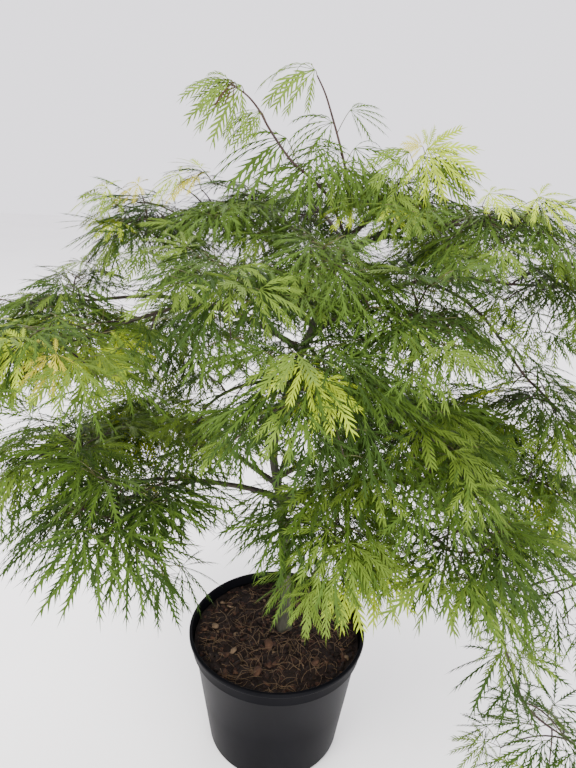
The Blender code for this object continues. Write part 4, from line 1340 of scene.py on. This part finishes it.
def keeps_place(leaves, lobes, middle, limbs):
    """Which leaves stay off the pot and the limbs, and inside the box."""
    points = middle[:, 2:]
    radius = np.linalg.norm(points[:, :, :2], axis=2)
    bad = ((points[:, :, 2] < POT_HEIGHT + RIM_CLEARANCE) & (radius < RIM_RADIUS + POT_CLEARANCE)).any(1)
    bad |= ((points < LEAF_BOX_LOW) | (points > LEAF_BOX_HIGH)).any((1, 2))
    for limb in limbs.values():
        course = np.array([tuple(point) for point in limb.points[::3]])
        gap = np.linalg.norm(points[:, :, None, :] - course, axis=3).min(2)
        bad |= (gap < LIMB_CLEARANCE).any(1)
    keep = np.ones(len(leaves), bool)
    np.logical_and.at(keep, lobes.leaf, ~bad)
    return keep


def leaf_reaches(leaves, lobes, middle, spaces):
    """How far each leaf reaches from its mass's centre, in radii of the mass."""
    owners = [spaces[leaf.mass] for leaf in leaves]
    size = of_owners(owners, "size", lobes.leaf)
    away = middle[:, 2:12:3] - of_owners(owners, "centre", lobes.leaf)[:, None]
    along = np.einsum("nkc,nc->nk", away, of_owners(owners, "heading", lobes.leaf)) / size[:, None, 0]
    across = np.einsum("nkc,nc->nk", away, of_owners(owners, "side", lobes.leaf)) / size[:, None, 1]
    up = away[:, :, 2] / size[:, None, 2]
    reaches = np.zeros(len(leaves))
    np.maximum.at(reaches, lobes.leaf, np.sqrt(along ** 2 + across ** 2 + up ** 2).max(1))
    return reaches


def fit_leaves(leaves, spaces, limbs):
    """Shorten the leaves that reach too far, and leave out those that are still in the way."""
    for limit, least in REACH_LIMITS:
        lobes = spread_lobes(leaves, random.Random(11))
        middle = bend_midribs(leaves, lobes)[0]
        reaches = leaf_reaches(leaves, lobes, middle, spaces)
        factors = [1.0 if leaf.free else min(1.0, max(least, limit / reach))
                   for leaf, reach in zip(leaves, reaches)]
        leaves = [leaf._replace(length=leaf.length * factor) for leaf, factor in zip(leaves, factors)]
    near = np.array([leaf.free for leaf in leaves]) | (reaches < FARTHEST)
    return [leaf for leaf, kept in zip(leaves, keeps_place(leaves, lobes, middle, limbs) & near) if kept]


def build_leaves(leaves, masses):
    """The leaves joined by colour, in pieces of a limited size."""
    lobes = spread_lobes(leaves, random.Random(12))
    midribs = bend_midribs(leaves, lobes)
    tints = np.array([leaf.tint for leaf in leaves])[lobes.leaf]
    for name, colour in LEAF_COLOURS.items():
        kind = "young" if name in YOUNG_TINTS else "grown"
        pieces = [Batch()]
        for variant in range(LOBE_KINDS):
            template, faces = lobe_template(kind, variant)
            chosen = (tints == name) & (lobes.variant == variant)
            middle, normal, side = (part[chosen] for part in midribs)
            for points in blade_points(template, middle, normal, side, lobes.length[chosen],
                                       lobes.fullness[chosen]):
                if pieces[-1].triangles + len(faces) > PIECE_TRIANGLES:
                    pieces.append(Batch())
                pieces[-1].add(points, faces)
        material = leaf_material(f"leaf_{name}", colour)
        for number, piece in enumerate(pieces):
            finish_piece(piece.object(f"leaves_{name}_{number + 1}"), material, masses)


def build_foliage(spaces, limbs, starts):
    growth = grow(spaces, limbs, starts)
    leaves = fit_leaves(growth.leaves, spaces, limbs)
    masses = [f"mass_{name}" for name in spaces]
    build_leaves(leaves, masses)
    stalks = Batch()
    for leaf in leaves:
        bend = leaf.base.lerp(leaf.joint, 0.6) + UP * 0.003
        points = bezier([leaf.base, bend, leaf.joint], 3)
        stalks.add(*tube(points, taper(STALK_RADIUS, STALK_TIP, len(points)), 3))
    material = bark_material("leaf_stalk", STALK_BARK, 30.0, 400.0, 0.0002, 0.55)
    finish_piece(stalks.object("leaf_stalks"), material, masses)
    material = bark_material("red_brown_twig", TWIG_BARK, 55.0, 400.0, 0.0003, 0.6)
    finish_piece(growth.twigs.object("twigs"), material, masses)


# Stage, light and camera

FLOOR_REACH = 6.0
FLOOR_COLOURS = ((0.3, (0.9, 0.89, 0.885)), (0.7, (0.94, 0.93, 0.925)))
SKY_COLOUR = (0.99, 0.955, 1.03, 1.0)
SKY_STRENGTH = 2.0
# Area lights: place, height aimed at, width and height, power and colour
LIGHTS = {
    "key": ((-1.3, -1.5, 2.9), 0.4, (1.8, 1.8), 160.0, (1.0, 0.97, 0.92)),
    "fill": ((0.6, -2.4, 0.95), 0.45, (2.4, 1.4), 100.0, (1.0, 1.0, 1.0)),
    "back": ((0.4, 2.2, 2.4), 0.5, (2.0, 1.4), 60.0, (1.0, 1.0, 1.0)),
}
# The photo's view, solved from the pot's rim and foot: it looks down and is rolled a little
CAMERA_PLACE = Vector((0.00112, -0.68065, 0.76708))
CAMERA_RIGHT = Vector((0.99912, 0.01467, 0.03922))
CAMERA_UP = Vector((-0.04188, 0.34999, 0.93582))
CAMERA_FORWARD = Vector((0.0, 0.93664, -0.3503))
CAMERA_LENS = 30.0
CAMERA_FILM = 36.0
CAMERA_NEAR = 0.01


def build_stage():
    reach = FLOOR_REACH
    corners = [(-reach, -reach, 0), (reach, -reach, 0), (reach, reach, 0), (-reach, reach, 0)]
    mesh = bpy.data.meshes.new("floor")
    mesh.from_pydata(corners, [], [(0, 1, 2, 3)])
    floor = placed("floor", mesh)
    mesh.materials.append(patchy_material("pale_floor", 0.65, 0.3, Pattern(3.0, 4.0), FLOOR_COLOURS))


def build_light():
    world = bpy.data.worlds.new("studio")
    bpy.context.scene.world = world
    world.use_nodes = True
    background = world.node_tree.nodes["Background"]
    background.inputs["Color"].default_value = SKY_COLOUR
    background.inputs["Strength"].default_value = SKY_STRENGTH
    for name, (place, aim, size, power, colour) in LIGHTS.items():
        light = bpy.data.lights.new(name, "AREA")
        light.shape = "RECTANGLE"
        light.size, light.size_y = size
        light.energy = power
        light.color = colour
        obj = placed(name, light)
        obj.location = place
        obj.rotation_euler = (UP * aim - obj.location).to_track_quat("-Z", "Y").to_euler()


def build_camera():
    camera = bpy.data.cameras.new("camera")
    camera.sensor_fit = "VERTICAL"
    camera.sensor_height = CAMERA_FILM
    camera.lens = CAMERA_LENS
    camera.clip_start = CAMERA_NEAR
    obj = placed("camera", camera)
    turn = Matrix((CAMERA_RIGHT, CAMERA_UP, -CAMERA_FORWARD)).transposed().to_4x4()
    turn.translation = CAMERA_PLACE
    obj.matrix_world = turn
    bpy.context.scene.camera = obj


build_camera()
build_stage()
build_light()
build_pot()
build_bed()
build_litter()
SPACES = {spray.name: Space(spray) for spray in SPRAYS}
LIMBS, STARTS = build_limbs(SPACES)
build_foliage(SPACES, LIMBS, STARTS)

bpy.context.view_layer.update()
